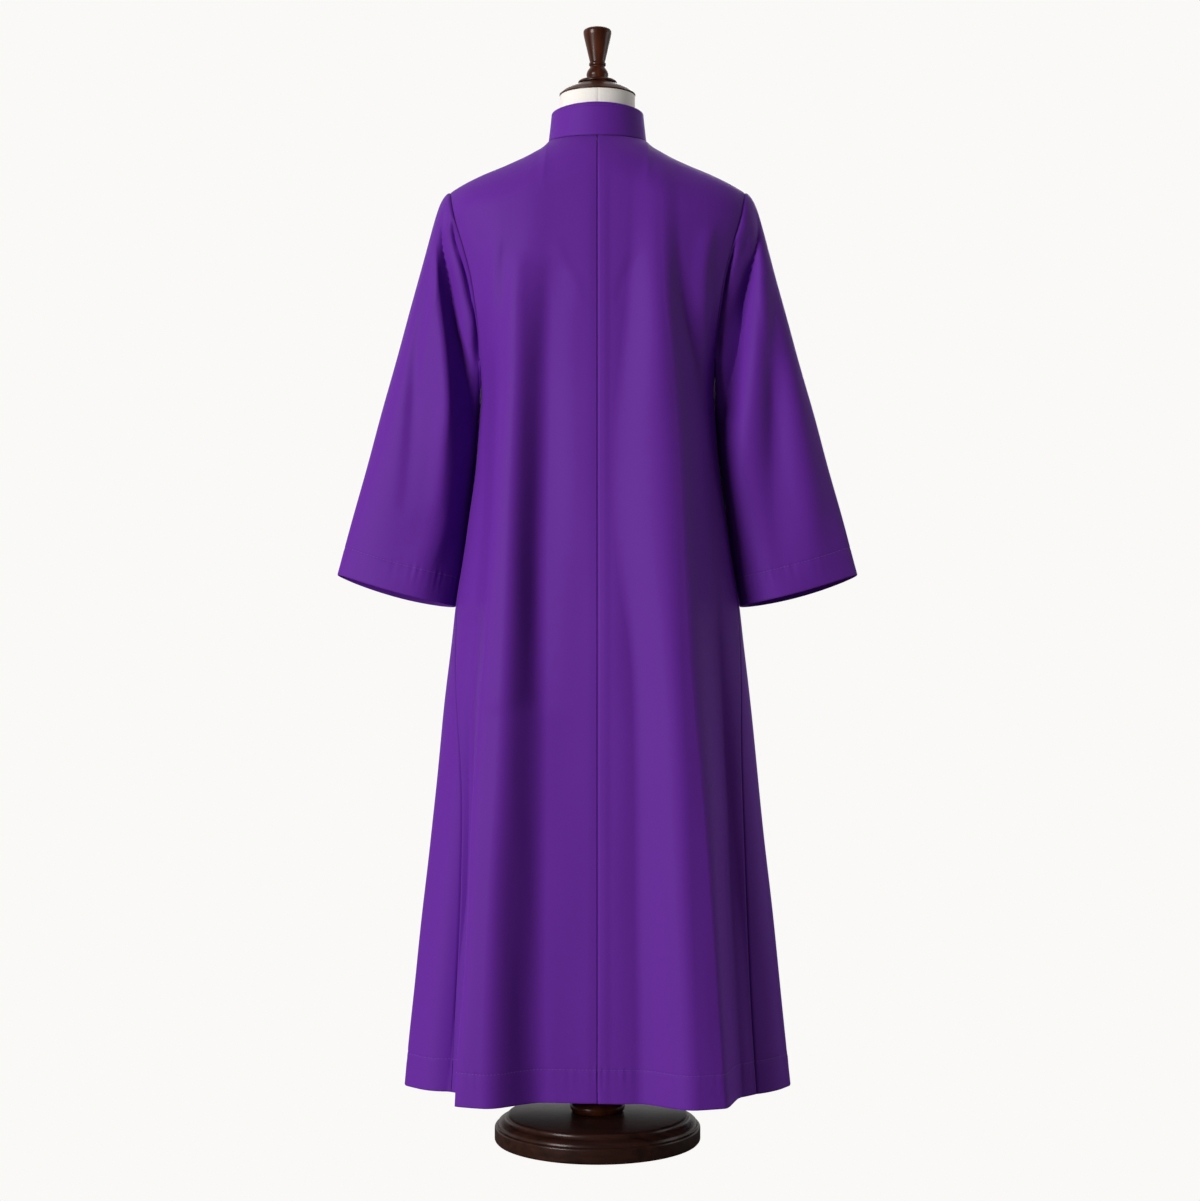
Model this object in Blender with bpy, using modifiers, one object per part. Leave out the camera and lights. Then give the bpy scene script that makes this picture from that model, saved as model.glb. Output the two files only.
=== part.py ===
"""A full-length cassock on a limbless dress form with a round wooden base.

Metres, +Z up.  The origin is the middle of the base's underside.  The back of the
garment faces -Y and its front faces +Y, so the wearer's left is at -X.

Every cloth panel is a grid of columns, counted from the garment's centre line
to the panel's outer edge, and rows, counted down from its top edge.  A point on
the body is found from its angle round the body, its height and the folds.
"""

import math

import bmesh
import bpy
import numpy as np

OBJECT_NAME = "cassock_on_dress_form"
LEFT, RIGHT = -1, 1

# Cloth.
WALL = 0.0015
COLLAR_WALL = 0.0024
SEAM_GAP = 0.0003
HEM_HEIGHT = 0.080
HEM_BAND = 0.047
CUFF_BAND = 0.041
BAND_STEP = 0.002

# Neck, shoulders and arms.
NECK_REACH = 0.0717
NECK_HEIGHT = 1.453
SHOULDER_REACH = 0.2145
SHOULDER_HEIGHT = 1.3795
UNDERARM_HEIGHT = 1.110
SQUARENESS = 0.15
SHOULDER_ROUND = 0.050
BACK = {"neck_depth": 0.070, "neck_drop": 0.002, "neck_round": 0.085}
FRONT = {"neck_depth": 0.073, "neck_drop": 0.043, "neck_round": 0.095}

# The front closes with the wearer's left side lapped over the right.
LAP = 0.0125
LAP_GAP = 2 * SEAM_GAP
DIP_ENDS, DIP_STARTS = 0.0145, 0.030

# Collar.
COLLAR_LIFT = 0.00035
COLLAR_END = 0.0005
COLLAR_TOP_REACH = 0.0670
COLLAR_TOP_DEPTH = (0.0655, 0.0640)
COLLAR_SIDE_HEIGHT = 1.4955
COLLAR_TOP_RISE = (0.0045, -0.0405)
COLLAR_CURVE = 0.25
COLLAR_ROWS = (0, 0.3, 0.65, 1)

# Rows of a body panel.
TOP_ROWS = 5
ARM_LEVELS = (1.288, 1.245, 1.202, 1.162, 1.130, UNDERARM_HEIGHT)
SKIRT_LEVELS = (1.06, 1.00, 0.93, 0.85, 0.76, 0.66, 0.55, 0.44, 0.33, 0.22)
BAND_TOP = HEM_HEIGHT + HEM_BAND
FULL_HEIGHT = SHOULDER_HEIGHT - SHOULDER_ROUND
LEVELS = (FULL_HEIGHT, *ARM_LEVELS, *SKIRT_LEVELS, BAND_TOP + BAND_STEP, BAND_TOP, HEM_HEIGHT)
ARM_ROWS = TOP_ROWS + len(ARM_LEVELS)
BODY_ROWS = TOP_ROWS + len(LEVELS) - 1
LIFT_ENDS = 0.60
SPREAD_DROP = 0.14

# Sleeves.
SLEEVE_SIDES = 2 * ARM_ROWS
CUFF_OUTER = (0.380, 0.823)
CUFF_INNER = (0.2105, 0.7765)
CUFF_DEPTH = 0.038
INNER_FULLNESS = 0.42
CUFF_SAG = 0.0055
CUFF_FRONT_DROP = 0.0045
CAP_SWELL = 0.010
CAP_LENGTH = 0.012
CAP_DIRECTION = (0.965, 0, 0.262)
SLEEVE_STAND = WALL + 0.0004
SLEEVE_ROWS = (0, 0.02, 0.05, 0.10, 0.17, 0.25, 0.34, 0.44, 0.54, 0.65, 0.76, 0.88, 1.0)

# Folds.
FRONT_FOLD_SHARE = 0.85
FRONT_FOLDS_END = 1.15
SIDE_HOLLOW = 0.013
# Least angles between columns, and between the last one and the panel's edge.
COLUMN_ANGLE = 0.03
EDGE_ANGLE = 0.04

# Stand.
FORM_SIDES = 28
FORM_CLEARANCE = 0.0030
NECK_RADIUS = 0.0575
CAP_BASE = 1.5228
BASE_TOP = 0.0415
POLE_RADIUS = 0.0125
POLE_SIDES = 24
TURNED_SIDES = 40

PURPLE = (0.135, 0.036, 0.325)
LINEN = (0.84, 0.79, 0.71)
DARK_WOOD = (0.040, 0.013, 0.008)
STEEL = (0.45, 0.44, 0.43)


class Table:
    """A short table, read as smooth curves against its first column."""

    def __init__(self, columns, rows):
        rows = np.array(sorted(rows))
        self.key = rows[:, 0]
        self.values = {name: rows[:, i] for i, name in enumerate(columns)}
        self.slopes = {name: np.gradient(v, self.key) for name, v in self.values.items()}

    def at(self, name, key):
        key = np.clip(key, self.key[0], self.key[-1])
        i = np.clip(np.searchsorted(self.key, key) - 1, 0, len(self.key) - 2)
        span = self.key[i + 1] - self.key[i]
        t = (key - self.key[i]) / span
        value, slope = self.values[name], self.slopes[name]
        start = (1 + 2 * t) * (1 - t) ** 2 * value[i] + t * (1 - t) ** 2 * span * slope[i]
        end = t * t * (3 - 2 * t) * value[i + 1] - t * t * (1 - t) * span * slope[i + 1]
        return start + end


BODY = Table(
    ("height", "half_width", "back_depth", "front_depth"),
    (
        (0.080, 0.2818, 0.1235, 0.152),
        (0.300, 0.2590, 0.1190, 0.144),
        (0.500, 0.2370, 0.1150, 0.136),
        (0.720, 0.2140, 0.1080, 0.126),
        (0.775, 0.2075, 0.1055, 0.123),
        (0.850, 0.1955, 0.1025, 0.119),
        (0.911, 0.1870, 0.1000, 0.116),
        (0.969, 0.1787, 0.0985, 0.114),
        (1.030, 0.1735, 0.0980, 0.113),
        (1.110, 0.1705, 0.1000, 0.114),
        (1.140, 0.1755, 0.1020, 0.116),
        (1.175, 0.1845, 0.1045, 0.118),
        (1.211, 0.1970, 0.1070, 0.120),
        (1.259, 0.2090, 0.1095, 0.120),
        (1.296, 0.2210, 0.1105, 0.119),
        (1.330, 0.2310, 0.1100, 0.116),
        (1.381, 0.2410, 0.1070, 0.110),
        (1.460, 0.2480, 0.1000, 0.105),
    ),
)
RIDGE = Table(
    ("reach", "height"),
    (
        (NECK_REACH, NECK_HEIGHT),
        (0.0766, 1.4483),
        (0.0934, 1.4378),
        (0.1310, 1.4196),
        (0.1715, 1.4026),
        (0.1905, 1.3936),
        (0.2050, 1.3855),
        (SHOULDER_REACH, SHOULDER_HEIGHT),
    ),
)
ARMHOLE = Table(
    ("height", "back", "front"),
    (
        (1.110, 0.1705, 0.1705),
        (1.140, 0.1695, 0.1680),
        (1.175, 0.1716, 0.1680),
        (1.211, 0.1760, 0.1715),
        (1.259, 0.1840, 0.1795),
        (1.296, 0.1940, 0.1900),
        (1.331, 0.2045, 0.2015),
        (SHOULDER_HEIGHT, SHOULDER_REACH, SHOULDER_REACH),
    ),
)
# Where the side seam lies, as a share of the half width, on the back of the body.
SIDE_SEAM = Table(
    ("height", "share"),
    (
        (0.080, 0.811),
        (0.228, 0.824),
        (0.430, 0.868),
        (0.577, 0.907),
        (0.740, 0.972),
        (0.850, 0.995),
        (1.000, 0.9995),
        (1.110, 1.000),
    ),
)
# One long soft fold on each side of the back: it rises at one reach from the
# centre line and falls away, more steeply, at another.
FOLD_COLUMNS = ("height", "rise", "rise_width", "fall", "fall_width", "swell")
FOLDS = {
    LEFT: Table(
        FOLD_COLUMNS,
        (
            (0.080, 0.117, 0.086, 0.2085, 0.016, 0.051),
            (0.295, 0.115, 0.082, 0.2000, 0.018, 0.048),
            (0.500, 0.109, 0.074, 0.1890, 0.022, 0.043),
            (0.720, 0.104, 0.062, 0.1700, 0.026, 0.034),
            (0.840, 0.102, 0.056, 0.1580, 0.028, 0.029),
            (1.040, 0.097, 0.054, 0.1500, 0.024, 0.024),
            (1.140, 0.093, 0.050, 0.1500, 0.026, 0.018),
            (1.211, 0.089, 0.046, 0.1520, 0.030, 0.010),
            (1.300, 0.084, 0.046, 0.1540, 0.034, 0.003),
            (1.460, 0.080, 0.046, 0.1540, 0.034, 0.000),
        ),
    ),
    RIGHT: Table(
        FOLD_COLUMNS,
        (
            (0.080, 0.097, 0.085, 0.1930, 0.030, 0.055),
            (0.295, 0.092, 0.080, 0.1810, 0.034, 0.048),
            (0.500, 0.088, 0.076, 0.1680, 0.040, 0.042),
            (0.720, 0.079, 0.072, 0.1510, 0.046, 0.036),
            (0.840, 0.069, 0.084, 0.1460, 0.048, 0.035),
            (1.040, 0.064, 0.082, 0.1340, 0.044, 0.030),
            (1.140, 0.064, 0.064, 0.1200, 0.032, 0.025),
            (1.211, 0.064, 0.050, 0.1090, 0.026, 0.018),
            (1.300, 0.065, 0.040, 0.1050, 0.026, 0.008),
            (1.460, 0.065, 0.040, 0.1050, 0.026, 0.000),
        ),
    ),
}
# The sleeve's inner line lies close to the body, a little towards the front.
INNER_LINE = Table(
    ("share", "inwards", "forwards"),
    (
        (0.0, 0.0000, 0.000),
        (0.1, 0.0050, 0.014),
        (0.2, 0.0080, 0.024),
        (0.4, 0.0112, 0.033),
        (0.6, 0.0108, 0.034),
        (0.8, 0.0084, 0.031),
        (1.0, 0.0028, 0.022),
    ),
)
# The long hollow down the back of each sleeve, from the shoulder to the underarm.
SLEEVE_HOLLOW_COLUMNS = ("height", "reach", "depth")
SLEEVE_HOLLOW_WIDTH = 0.020
SLEEVE_HOLLOW = {
    LEFT: Table(
        SLEEVE_HOLLOW_COLUMNS,
        (
            (1.03, 0.178, 0.003),
            (1.07, 0.190, 0.008),
            (1.18, 0.208, 0.012),
            (1.26, 0.220, 0.010),
            (1.35, 0.225, 0.002),
        ),
    ),
    RIGHT: Table(
        SLEEVE_HOLLOW_COLUMNS,
        (
            (1.03, 0.180, 0.003),
            (1.07, 0.190, 0.008),
            (1.18, 0.200, 0.011),
            (1.26, 0.216, 0.010),
            (1.35, 0.225, 0.002),
        ),
    ),
}
# Below it the back of the sleeve stands out in one soft fold, close to the body.
SLEEVE_FOLD_COLUMNS = ("height", "reach", "stand")
SLEEVE_FOLD_WIDTHS = (0.017, 0.030)
SLEEVE_FOLD = {
    LEFT: Table(
        SLEEVE_FOLD_COLUMNS,
        (
            (0.780, 0.258, 0.003),
            (0.830, 0.244, 0.006),
            (0.880, 0.226, 0.011),
            (0.940, 0.216, 0.015),
            (1.030, 0.211, 0.016),
            (1.100, 0.209, 0.014),
            (1.160, 0.214, 0.008),
            (1.220, 0.222, 0.000),
        ),
    ),
    RIGHT: Table(
        SLEEVE_FOLD_COLUMNS,
        (
            (0.780, 0.246, 0.003),
            (0.830, 0.236, 0.006),
            (0.880, 0.221, 0.010),
            (0.940, 0.211, 0.013),
            (1.030, 0.211, 0.014),
            (1.100, 0.213, 0.012),
            (1.160, 0.221, 0.006),
            (1.220, 0.229, 0.000),
        ),
    ),
}
FORM = Table(
    ("height", "half_width", "back_depth", "front_depth"),
    (
        (0.7450, 0.118, 0.066, 0.072),
        (0.7600, 0.140, 0.080, 0.087),
        (0.8000, 0.152, 0.088, 0.095),
        (0.8600, 0.154, 0.089, 0.098),
        (0.9300, 0.146, 0.084, 0.094),
        (1.0000, 0.137, 0.079, 0.088),
        (1.0600, 0.134, 0.078, 0.088),
        (1.1300, 0.139, 0.083, 0.096),
        (1.2000, 0.149, 0.090, 0.103),
        (1.2600, 0.160, 0.095, 0.103),
        (1.3100, 0.174, 0.096, 0.099),
        (1.3500, 0.188, 0.093, 0.092),
        (1.3780, 0.197, 0.088, 0.083),
    ),
)
SHOULDER_RINGS = (1.392, 1.402, 1.412, 1.422, 1.432, 1.440, 1.448)
SHOULDER_DEPTH = Table(
    ("height", "back_depth", "front_depth"),
    (
        (1.3885, 0.080, 0.074),
        (1.3985, 0.074, 0.066),
        (1.4085, 0.067, 0.057),
        (1.4185, 0.057, 0.046),
        (1.4285, 0.046, 0.036),
        (1.4365, 0.034, 0.025),
        (1.4455, 0.020, 0.010),
    ),
)
NECK_RINGS = ((1.458, 0.0575), (1.475, 0.0560), (1.500, 0.0548), (1.5225, 0.0547))


def ease(t):
    """A smooth step from 0 to 1."""
    t = np.clip(t, 0, 1)
    return t * t * (3 - 2 * t)


def fold_swell(side, is_back, reach, height):
    """How far the long fold stands out from the body."""
    folds = FOLDS[side if is_back else -side]
    rising = ease((reach - folds.at("rise", height)) / folds.at("rise_width", height) + 0.5)
    falling = ease((reach - folds.at("fall", height)) / folds.at("fall_width", height) + 0.5)
    share = 1 if is_back else FRONT_FOLD_SHARE * ease((FRONT_FOLDS_END - height) / 0.35)
    return folds.at("swell", height) * share * rising * (1 - falling)


def side_hollow(angle_from_middle, height):
    """The cloth sinks a little between the fold and the side of the skirt."""
    degrees = np.degrees(angle_from_middle)
    depth = SIDE_HOLLOW * ease((0.85 - height) / 0.75)
    return depth * ease((degrees - 45) / 10) * ease((90 - degrees) / 16)


def body_depth(side, angle, height):
    """Depth from the garment's middle plane, at an angle from the centre back."""
    total = 0
    for is_back, name in ((True, "back_depth"), (False, "front_depth")):
        own = angle if is_back else math.pi - angle
        inside = np.clip(own, -math.pi / 2, math.pi / 2)
        round_part = np.cos(inside) * (1 + SQUARENESS * np.sin(inside) ** 2)
        reach = BODY.at("half_width", height) * np.sin(np.abs(inside))
        depth = BODY.at(name, height) * round_part + fold_swell(side, is_back, reach, height)
        total = total + np.where(own < math.pi / 2, depth - side_hollow(inside, height), 0)
    return total


class Panel:
    """One quarter of the garment's body: a back or a front panel."""

    def __init__(self, side, is_back):
        self.side = side
        self.is_back = is_back
        self.neck = BACK if is_back else FRONT
        if is_back:
            self.stations = (0, 3, 4, 5, 8, 9, 11)
            self.neck_columns, self.neck_angles = (0, 3, 4), (0, 67.5, 90)
        else:
            self.stations = (0, 1, 2, 4, 5, 6, 9, 10, 15)
            lap_angles = [math.degrees(math.asin(x / NECK_REACH)) for x in self.lap_reaches()]
            self.neck_columns, self.neck_angles = (0, 1, 2, 4, 5), (*lap_angles, 62, 90)
        self.columns = self.stations[-1]

    @staticmethod
    def lap_reaches():
        return -LAP, DIP_ENDS, DIP_STARTS

    def edge_angle(self, height):
        """The outer edge: the armhole, and below it the side seam."""
        column = "back" if self.is_back else "front"
        arm_reach = ARMHOLE.at(column, height)
        arm = np.arcsin(np.clip(arm_reach / BODY.at("half_width", height), 0, 1))
        seam = np.arcsin(np.clip(SIDE_SEAM.at("share", height), 0, 1))
        seam = seam if self.is_back else math.pi - seam
        return np.where(height >= UNDERARM_HEIGHT, arm, seam)

    def low_angle(self, column, height):
        """The angle of a column below the shoulders, where columns follow the folds."""
        folds = FOLDS[self.side if self.is_back else -self.side]
        rise, fall = folds.at("rise", height), folds.at("fall", height)
        half_rise = folds.at("rise_width", height) / 2
        half_fall = folds.at("fall_width", height) / 2
        starts = (0,) if self.is_back else self.lap_reaches()
        reaches = [
            *starts,
            rise - half_rise,
            rise,
            rise + half_rise,
            fall - half_fall,
            fall + half_fall,
        ]
        edge = self.edge_angle(height)
        width = BODY.at("half_width", height)
        angles = [np.arcsin(r / width) + 0 * column for r in reaches]
        last = np.arcsin(np.clip(reaches[-1] / width, -1, 1))
        angles[-1] = np.minimum(last, edge - EDGE_ANGLE)
        for i in range(len(starts), len(angles) - 1):
            room = COLUMN_ANGLE * (len(angles) - 1 - i)
            angles[i] = np.minimum(angles[i], angles[-1] - room)
        angles.append(edge + 0 * column)
        angles = np.array(angles)
        stations = np.array(self.stations)
        i = np.searchsorted(stations, column, side="right") - 1
        i = np.clip(i, 0, len(stations) - 2)
        t = (column - stations[i]) / (stations[i + 1] - stations[i])
        low = np.take_along_axis(angles, i[None], 0)[0]
        high = np.take_along_axis(angles, i[None] + 1, 0)[0]
        return low * (1 - t) + high * t

    def top_edge(self, column):
        """Reach, depth and height of the neckline and then the shoulder seam."""
        corner = self.neck_columns[-1]
        angle = np.radians(np.interp(column, self.neck_columns, self.neck_angles))
        along = np.clip((column - corner) / (self.columns - corner), 0, 1)
        on_neck = column <= corner
        shoulder = NECK_REACH + along * (SHOULDER_REACH - NECK_REACH)
        reach = np.where(on_neck, NECK_REACH * np.sin(angle), shoulder)
        depth = np.where(on_neck, self.neck["neck_depth"] * np.cos(angle), 0)
        neck_height = NECK_HEIGHT - self.neck["neck_drop"] * np.cos(angle) ** 2
        height = np.where(on_neck, neck_height, RIDGE.at("height", shoulder))
        radius = self.neck["neck_round"] + along * (SHOULDER_ROUND - self.neck["neck_round"])
        return reach, depth, height, radius

    def point(self, column, row):
        """A point of the outer face."""
        column, row = np.broadcast_arrays(np.asarray(column, float), np.asarray(row, float))
        reach, depth, top, radius = self.top_edge(column)
        top_angle = np.arcsin(reach / BODY.at("half_width", top))
        angle_from_back = top_angle if self.is_back else math.pi - top_angle
        full = body_depth(self.side, angle_from_back, top)
        start = np.arcsin(np.clip(depth / full, 0, 1)) + SEAM_GAP / 2 / full
        turn = start + (math.pi / 2 - start) * np.clip(row / TOP_ROWS, 0, 1)
        rounded = top - radius * (np.cos(start) - np.cos(turn))
        level = np.interp(row - TOP_ROWS, np.arange(len(LEVELS)), LEVELS)
        lift_share = np.clip((level - LIFT_ENDS) / (FULL_HEIGHT - LIFT_ENDS), 0, 1) ** 1.5
        lift = (top - radius * np.cos(start) - FULL_HEIGHT) * lift_share
        height = np.where(row <= TOP_ROWS, rounded, level + lift)

        edge = self.edge_angle(height)
        top_share = top_angle / self.edge_angle(top)
        low_share = self.low_angle(column, height) / edge
        spread = ease((top - height) / SPREAD_DROP)
        share = top_share * (1 - spread) + low_share * spread
        width = BODY.at("half_width", height)
        speed = np.hypot(width * np.cos(edge), BODY.at("back_depth", height) * np.sin(edge))
        first = SEAM_GAP / 2 / width if self.is_back else 0
        last = edge - SEAM_GAP / 2 / speed
        own = first + share * (last - first)

        angle = own if self.is_back else math.pi - own
        y = body_depth(self.side, angle, height) * np.sin(turn) * -np.sign(np.cos(angle))
        return np.stack([self.side * width * np.sin(own), y, height], -1)

    def normal(self, column, row, step=1e-3):
        """The outward direction, from nearby points of the outer face."""
        columns = np.clip([column - step, column + step], 0, self.columns)
        rows = np.clip([row - step, row + step], 0, BODY_ROWS)
        across = self.point(columns[1], row) - self.point(columns[0], row)
        down = self.point(column, rows[1]) - self.point(column, rows[0])
        normal = np.cross(across, down) * self.side * (-1 if self.is_back else 1)
        if self.is_back:
            normal[..., 0] = np.where(column == 0, 0, normal[..., 0])
        return normal / np.linalg.norm(normal, axis=-1, keepdims=True)

    def inset(self, reach, wall):
        """The wearer's right front dips under the left one near the closing."""
        if self.is_back or self.side == LEFT:
            return 0 * reach
        return (wall + LAP_GAP) * ease((DIP_STARTS - reach) / (DIP_STARTS - DIP_ENDS))

    def faces(self):
        """Grids of points on the outer and the inner face."""
        columns, rows = np.arange(self.columns + 1.0), np.arange(BODY_ROWS + 1.0)
        column, row = np.meshgrid(columns, rows, indexing="ij")
        points, normals = self.point(column, row), self.normal(column, row)
        wall = np.where(row >= BODY_ROWS - 1, 2 * WALL, WALL)
        sunk = self.inset(points[..., 0] * self.side, wall)
        return points - sunk[..., None] * normals, points - (sunk + wall)[..., None] * normals


class Sleeve:
    """A tube from the armhole to the cuff, counted round from the shoulder by way of the back."""

    def __init__(self, side):
        self.side = side
        self.back, self.front = Panel(side, True), Panel(side, False)

    def armhole(self, around):
        """The armhole's edge, lifted clear of the body panels."""
        around = np.mod(around, SLEEVE_SIDES)
        on_back = around <= ARM_ROWS
        row = np.where(on_back, around, SLEEVE_SIDES - around)
        ends = []
        for panel in (self.back, self.front):
            edge = float(panel.columns) + 0 * row
            ends.append(panel.point(edge, row) + SLEEVE_STAND * panel.normal(edge, row))
        return np.where(on_back[..., None], ends[0], ends[1])

    def cuff(self, around):
        turn = math.pi * around / ARM_ROWS
        (outer_x, outer_z), (inner_x, inner_z) = CUFF_OUTER, CUFF_INNER
        across, towards_back = (1 + np.cos(turn)) / 2, np.sin(turn)
        x = self.side * (inner_x + (outer_x - inner_x) * across)
        sag = CUFF_SAG * towards_back**2 - CUFF_FRONT_DROP * towards_back
        z = inner_z + (outer_z - inner_z) * across - sag
        depth = CUFF_DEPTH * towards_back * (1 - INNER_FULLNESS * np.cos(turn))
        return np.stack([x, -depth, z], -1)

    def point(self, around, along):
        """along runs from 0 at the armhole to 1 at the stitching and 2 at the cuff's edge."""
        around, along = np.broadcast_arrays(np.asarray(around, float), np.asarray(along, float))
        start, end = self.armhole(around), self.cuff(around)
        length = np.linalg.norm(end - start, axis=-1)
        band = CUFF_BAND / length
        t = np.where(along <= 1, along * (1 - band), 1 - (2 - along) * band)
        points = start + t[..., None] * (end - start)
        inner = ((1 - np.cos(math.pi * around / ARM_ROWS)) / 2) ** 2
        points[..., 0] -= self.side * INNER_LINE.at("inwards", t) * inner
        points[..., 1] += INNER_LINE.at("forwards", t) * inner
        near_top = np.cos(math.pi / 2 * np.minimum(around, SLEEVE_SIDES - around) / ARM_ROWS) ** 2
        swell = CAP_SWELL * near_top * (1 - np.exp(-t * length / CAP_LENGTH)) * (1 - t)
        points = points + swell[..., None] * np.array(CAP_DIRECTION) * [self.side, 1, 1]
        hollow = SLEEVE_HOLLOW[self.side]
        height, reach = points[..., 2], np.abs(points[..., 0])
        off = (reach - hollow.at("reach", height)) / SLEEVE_HOLLOW_WIDTH
        on_back = np.sin(math.pi * around / ARM_ROWS).clip(0, 1)
        fading = ease((height - 0.98) / 0.1) * ease(t * length / 0.03)
        points[..., 1] += hollow.at("depth", height) * np.exp(-(off**2)) * on_back * fading
        fold = SLEEVE_FOLD[self.side]
        off = reach - fold.at("reach", height)
        off = off / np.where(off < 0, *SLEEVE_FOLD_WIDTHS)
        points[..., 1] -= fold.at("stand", height) * np.exp(-(off**2)) * on_back
        return points

    def faces(self):
        along = np.array([*SLEEVE_ROWS, 1 + BAND_STEP / CUFF_BAND, 2])
        around, along = np.meshgrid(np.arange(float(SLEEVE_SIDES)), along, indexing="ij")
        points, step = self.point(around, along), 1e-3
        across = self.point(np.mod(around + step, SLEEVE_SIDES), along)
        across = across - self.point(np.mod(around - step, SLEEVE_SIDES), along)
        low, high = np.clip(along - step, 0, 2), np.clip(along + step, 0, 2)
        down = self.point(around, high) - self.point(around, low)
        normals = np.cross(across, down) * self.side
        normals /= np.linalg.norm(normals, axis=-1, keepdims=True)
        wall = np.where(along[..., None] > 1, 2 * WALL, WALL)
        return points, points - wall * normals


def neckline(side):
    """The corners of the neckline, from the centre front to the centre back."""
    front, back = Panel(side, False), Panel(side, True)
    before = front.point(np.arange(front.neck_columns[-1] + 1.0), 0)
    before[0] += (before[1] - before[0]) * (COLLAR_END + LAP) / (DIP_ENDS + LAP)
    behind = back.point(np.arange(back.neck_columns[-1], -1.0, -1), 0)
    return np.concatenate([before, behind[1:]])


def collar_faces():
    """The band collar, which stands on the neckline; its ends meet at the centre front."""
    corners = np.concatenate([neckline(RIGHT), neckline(LEFT)[-2::-1]])
    places = np.arange(0, len(corners) - 0.75, 0.5)
    low = np.stack([np.interp(places, np.arange(len(corners)), c) for c in corners.T], -1)
    behind = low[:, 1] < 0
    neck_depth = np.where(behind, BACK["neck_depth"], FRONT["neck_depth"])
    angle = np.arctan2(low[:, 0] / NECK_REACH, -low[:, 1] / neck_depth)
    top_depth = np.where(behind, *COLLAR_TOP_DEPTH)
    top_height = COLLAR_SIDE_HEIGHT + np.where(behind, *COLLAR_TOP_RISE) * np.cos(angle) ** 2
    high = np.stack([COLLAR_TOP_REACH * np.sin(angle), -top_depth * np.cos(angle), top_height], -1)
    low[:, 2] += COLLAR_LIFT
    inward = low * np.array([-1, -1, 0])
    inward /= np.linalg.norm(inward, axis=-1, keepdims=True)
    rows = []
    for up in COLLAR_ROWS:
        lean = up + COLLAR_CURVE * up * (1 - up)
        row = low + (high - low) * lean
        row[:, 2] = low[:, 2] + (high - low)[:, 2] * up
        rows.append(row)
    outer = np.stack(rows, 1)
    return outer, outer + COLLAR_WALL * inward[:, None]


def material(name, colour, roughness, metallic=0.0):
    made = bpy.data.materials.new(name)
    made.use_nodes = True
    shader = made.node_tree.nodes["Principled BSDF"]
    shader.inputs["Base Color"].default_value = (*colour, 1)
    shader.inputs["Roughness"].default_value = roughness
    shader.inputs["Metallic"].default_value = metallic
    return made


def add_object(name, mesh, colour, roughness, metallic=0.0):
    mesh.materials.append(material(name, colour, roughness, metallic))
    made = bpy.data.objects.new(name, mesh)
    bpy.data.collections[OBJECT_NAME].objects.link(made)
    return made


def wall_mesh(name, outer, inner, is_tube=False):
    """A closed wall between two grids of points; a tube's columns run all the way round."""
    shape = bmesh.new()
    grids = [[[shape.verts.new(p) for p in line] for line in grid] for grid in (outer, inner)]
    columns, rows = outer.shape[0], outer.shape[1]
    pairs = [(i, (i + 1) % columns) for i in range(columns if is_tube else columns - 1)]
    for grid in grids:
        for i, j in pairs:
            for k in range(rows - 1):
                shape.faces.new((grid[i][k], grid[j][k], grid[j][k + 1], grid[i][k + 1]))
    out, in_ = grids
    for k in (0, rows - 1):
        for i, j in pairs:
            shape.faces.new((out[i][k], out[j][k], in_[j][k], in_[i][k]))
    for i in () if is_tube else (0, columns - 1):
        for k in range(rows - 1):
            shape.faces.new((out[i][k], out[i][k + 1], in_[i][k + 1], in_[i][k]))
    bmesh.ops.recalc_face_normals(shape, faces=shape.faces)
    mesh = bpy.data.meshes.new(name)
    shape.to_mesh(mesh)
    shape.free()
    mesh.shade_smooth()
    mesh.set_sharp_from_angle(angle=math.radians(50))
    return mesh


def add_cloth(name, outer, inner, is_tube=False):
    return add_object(name, wall_mesh(name, outer, inner, is_tube), PURPLE, 0.6)


def add_turned(name, profile, sides, colour, roughness, metallic=0.0):
    """A round solid turned from an outline of (radius, height), from top to bottom."""
    mesh = bpy.data.meshes.new(name)
    points = [(radius, 0, height) for radius, height in profile]
    mesh.from_pydata(points, [(i, i + 1) for i in range(len(points) - 1)], [])
    made = add_object(name, mesh, colour, roughness, metallic)
    screw = made.modifiers.new("turn", "SCREW")
    screw.steps = screw.render_steps = sides
    screw.use_merge_vertices = True
    screw.merge_threshold = 0.0001
    screw.use_smooth_shade = True
    return made


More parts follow.
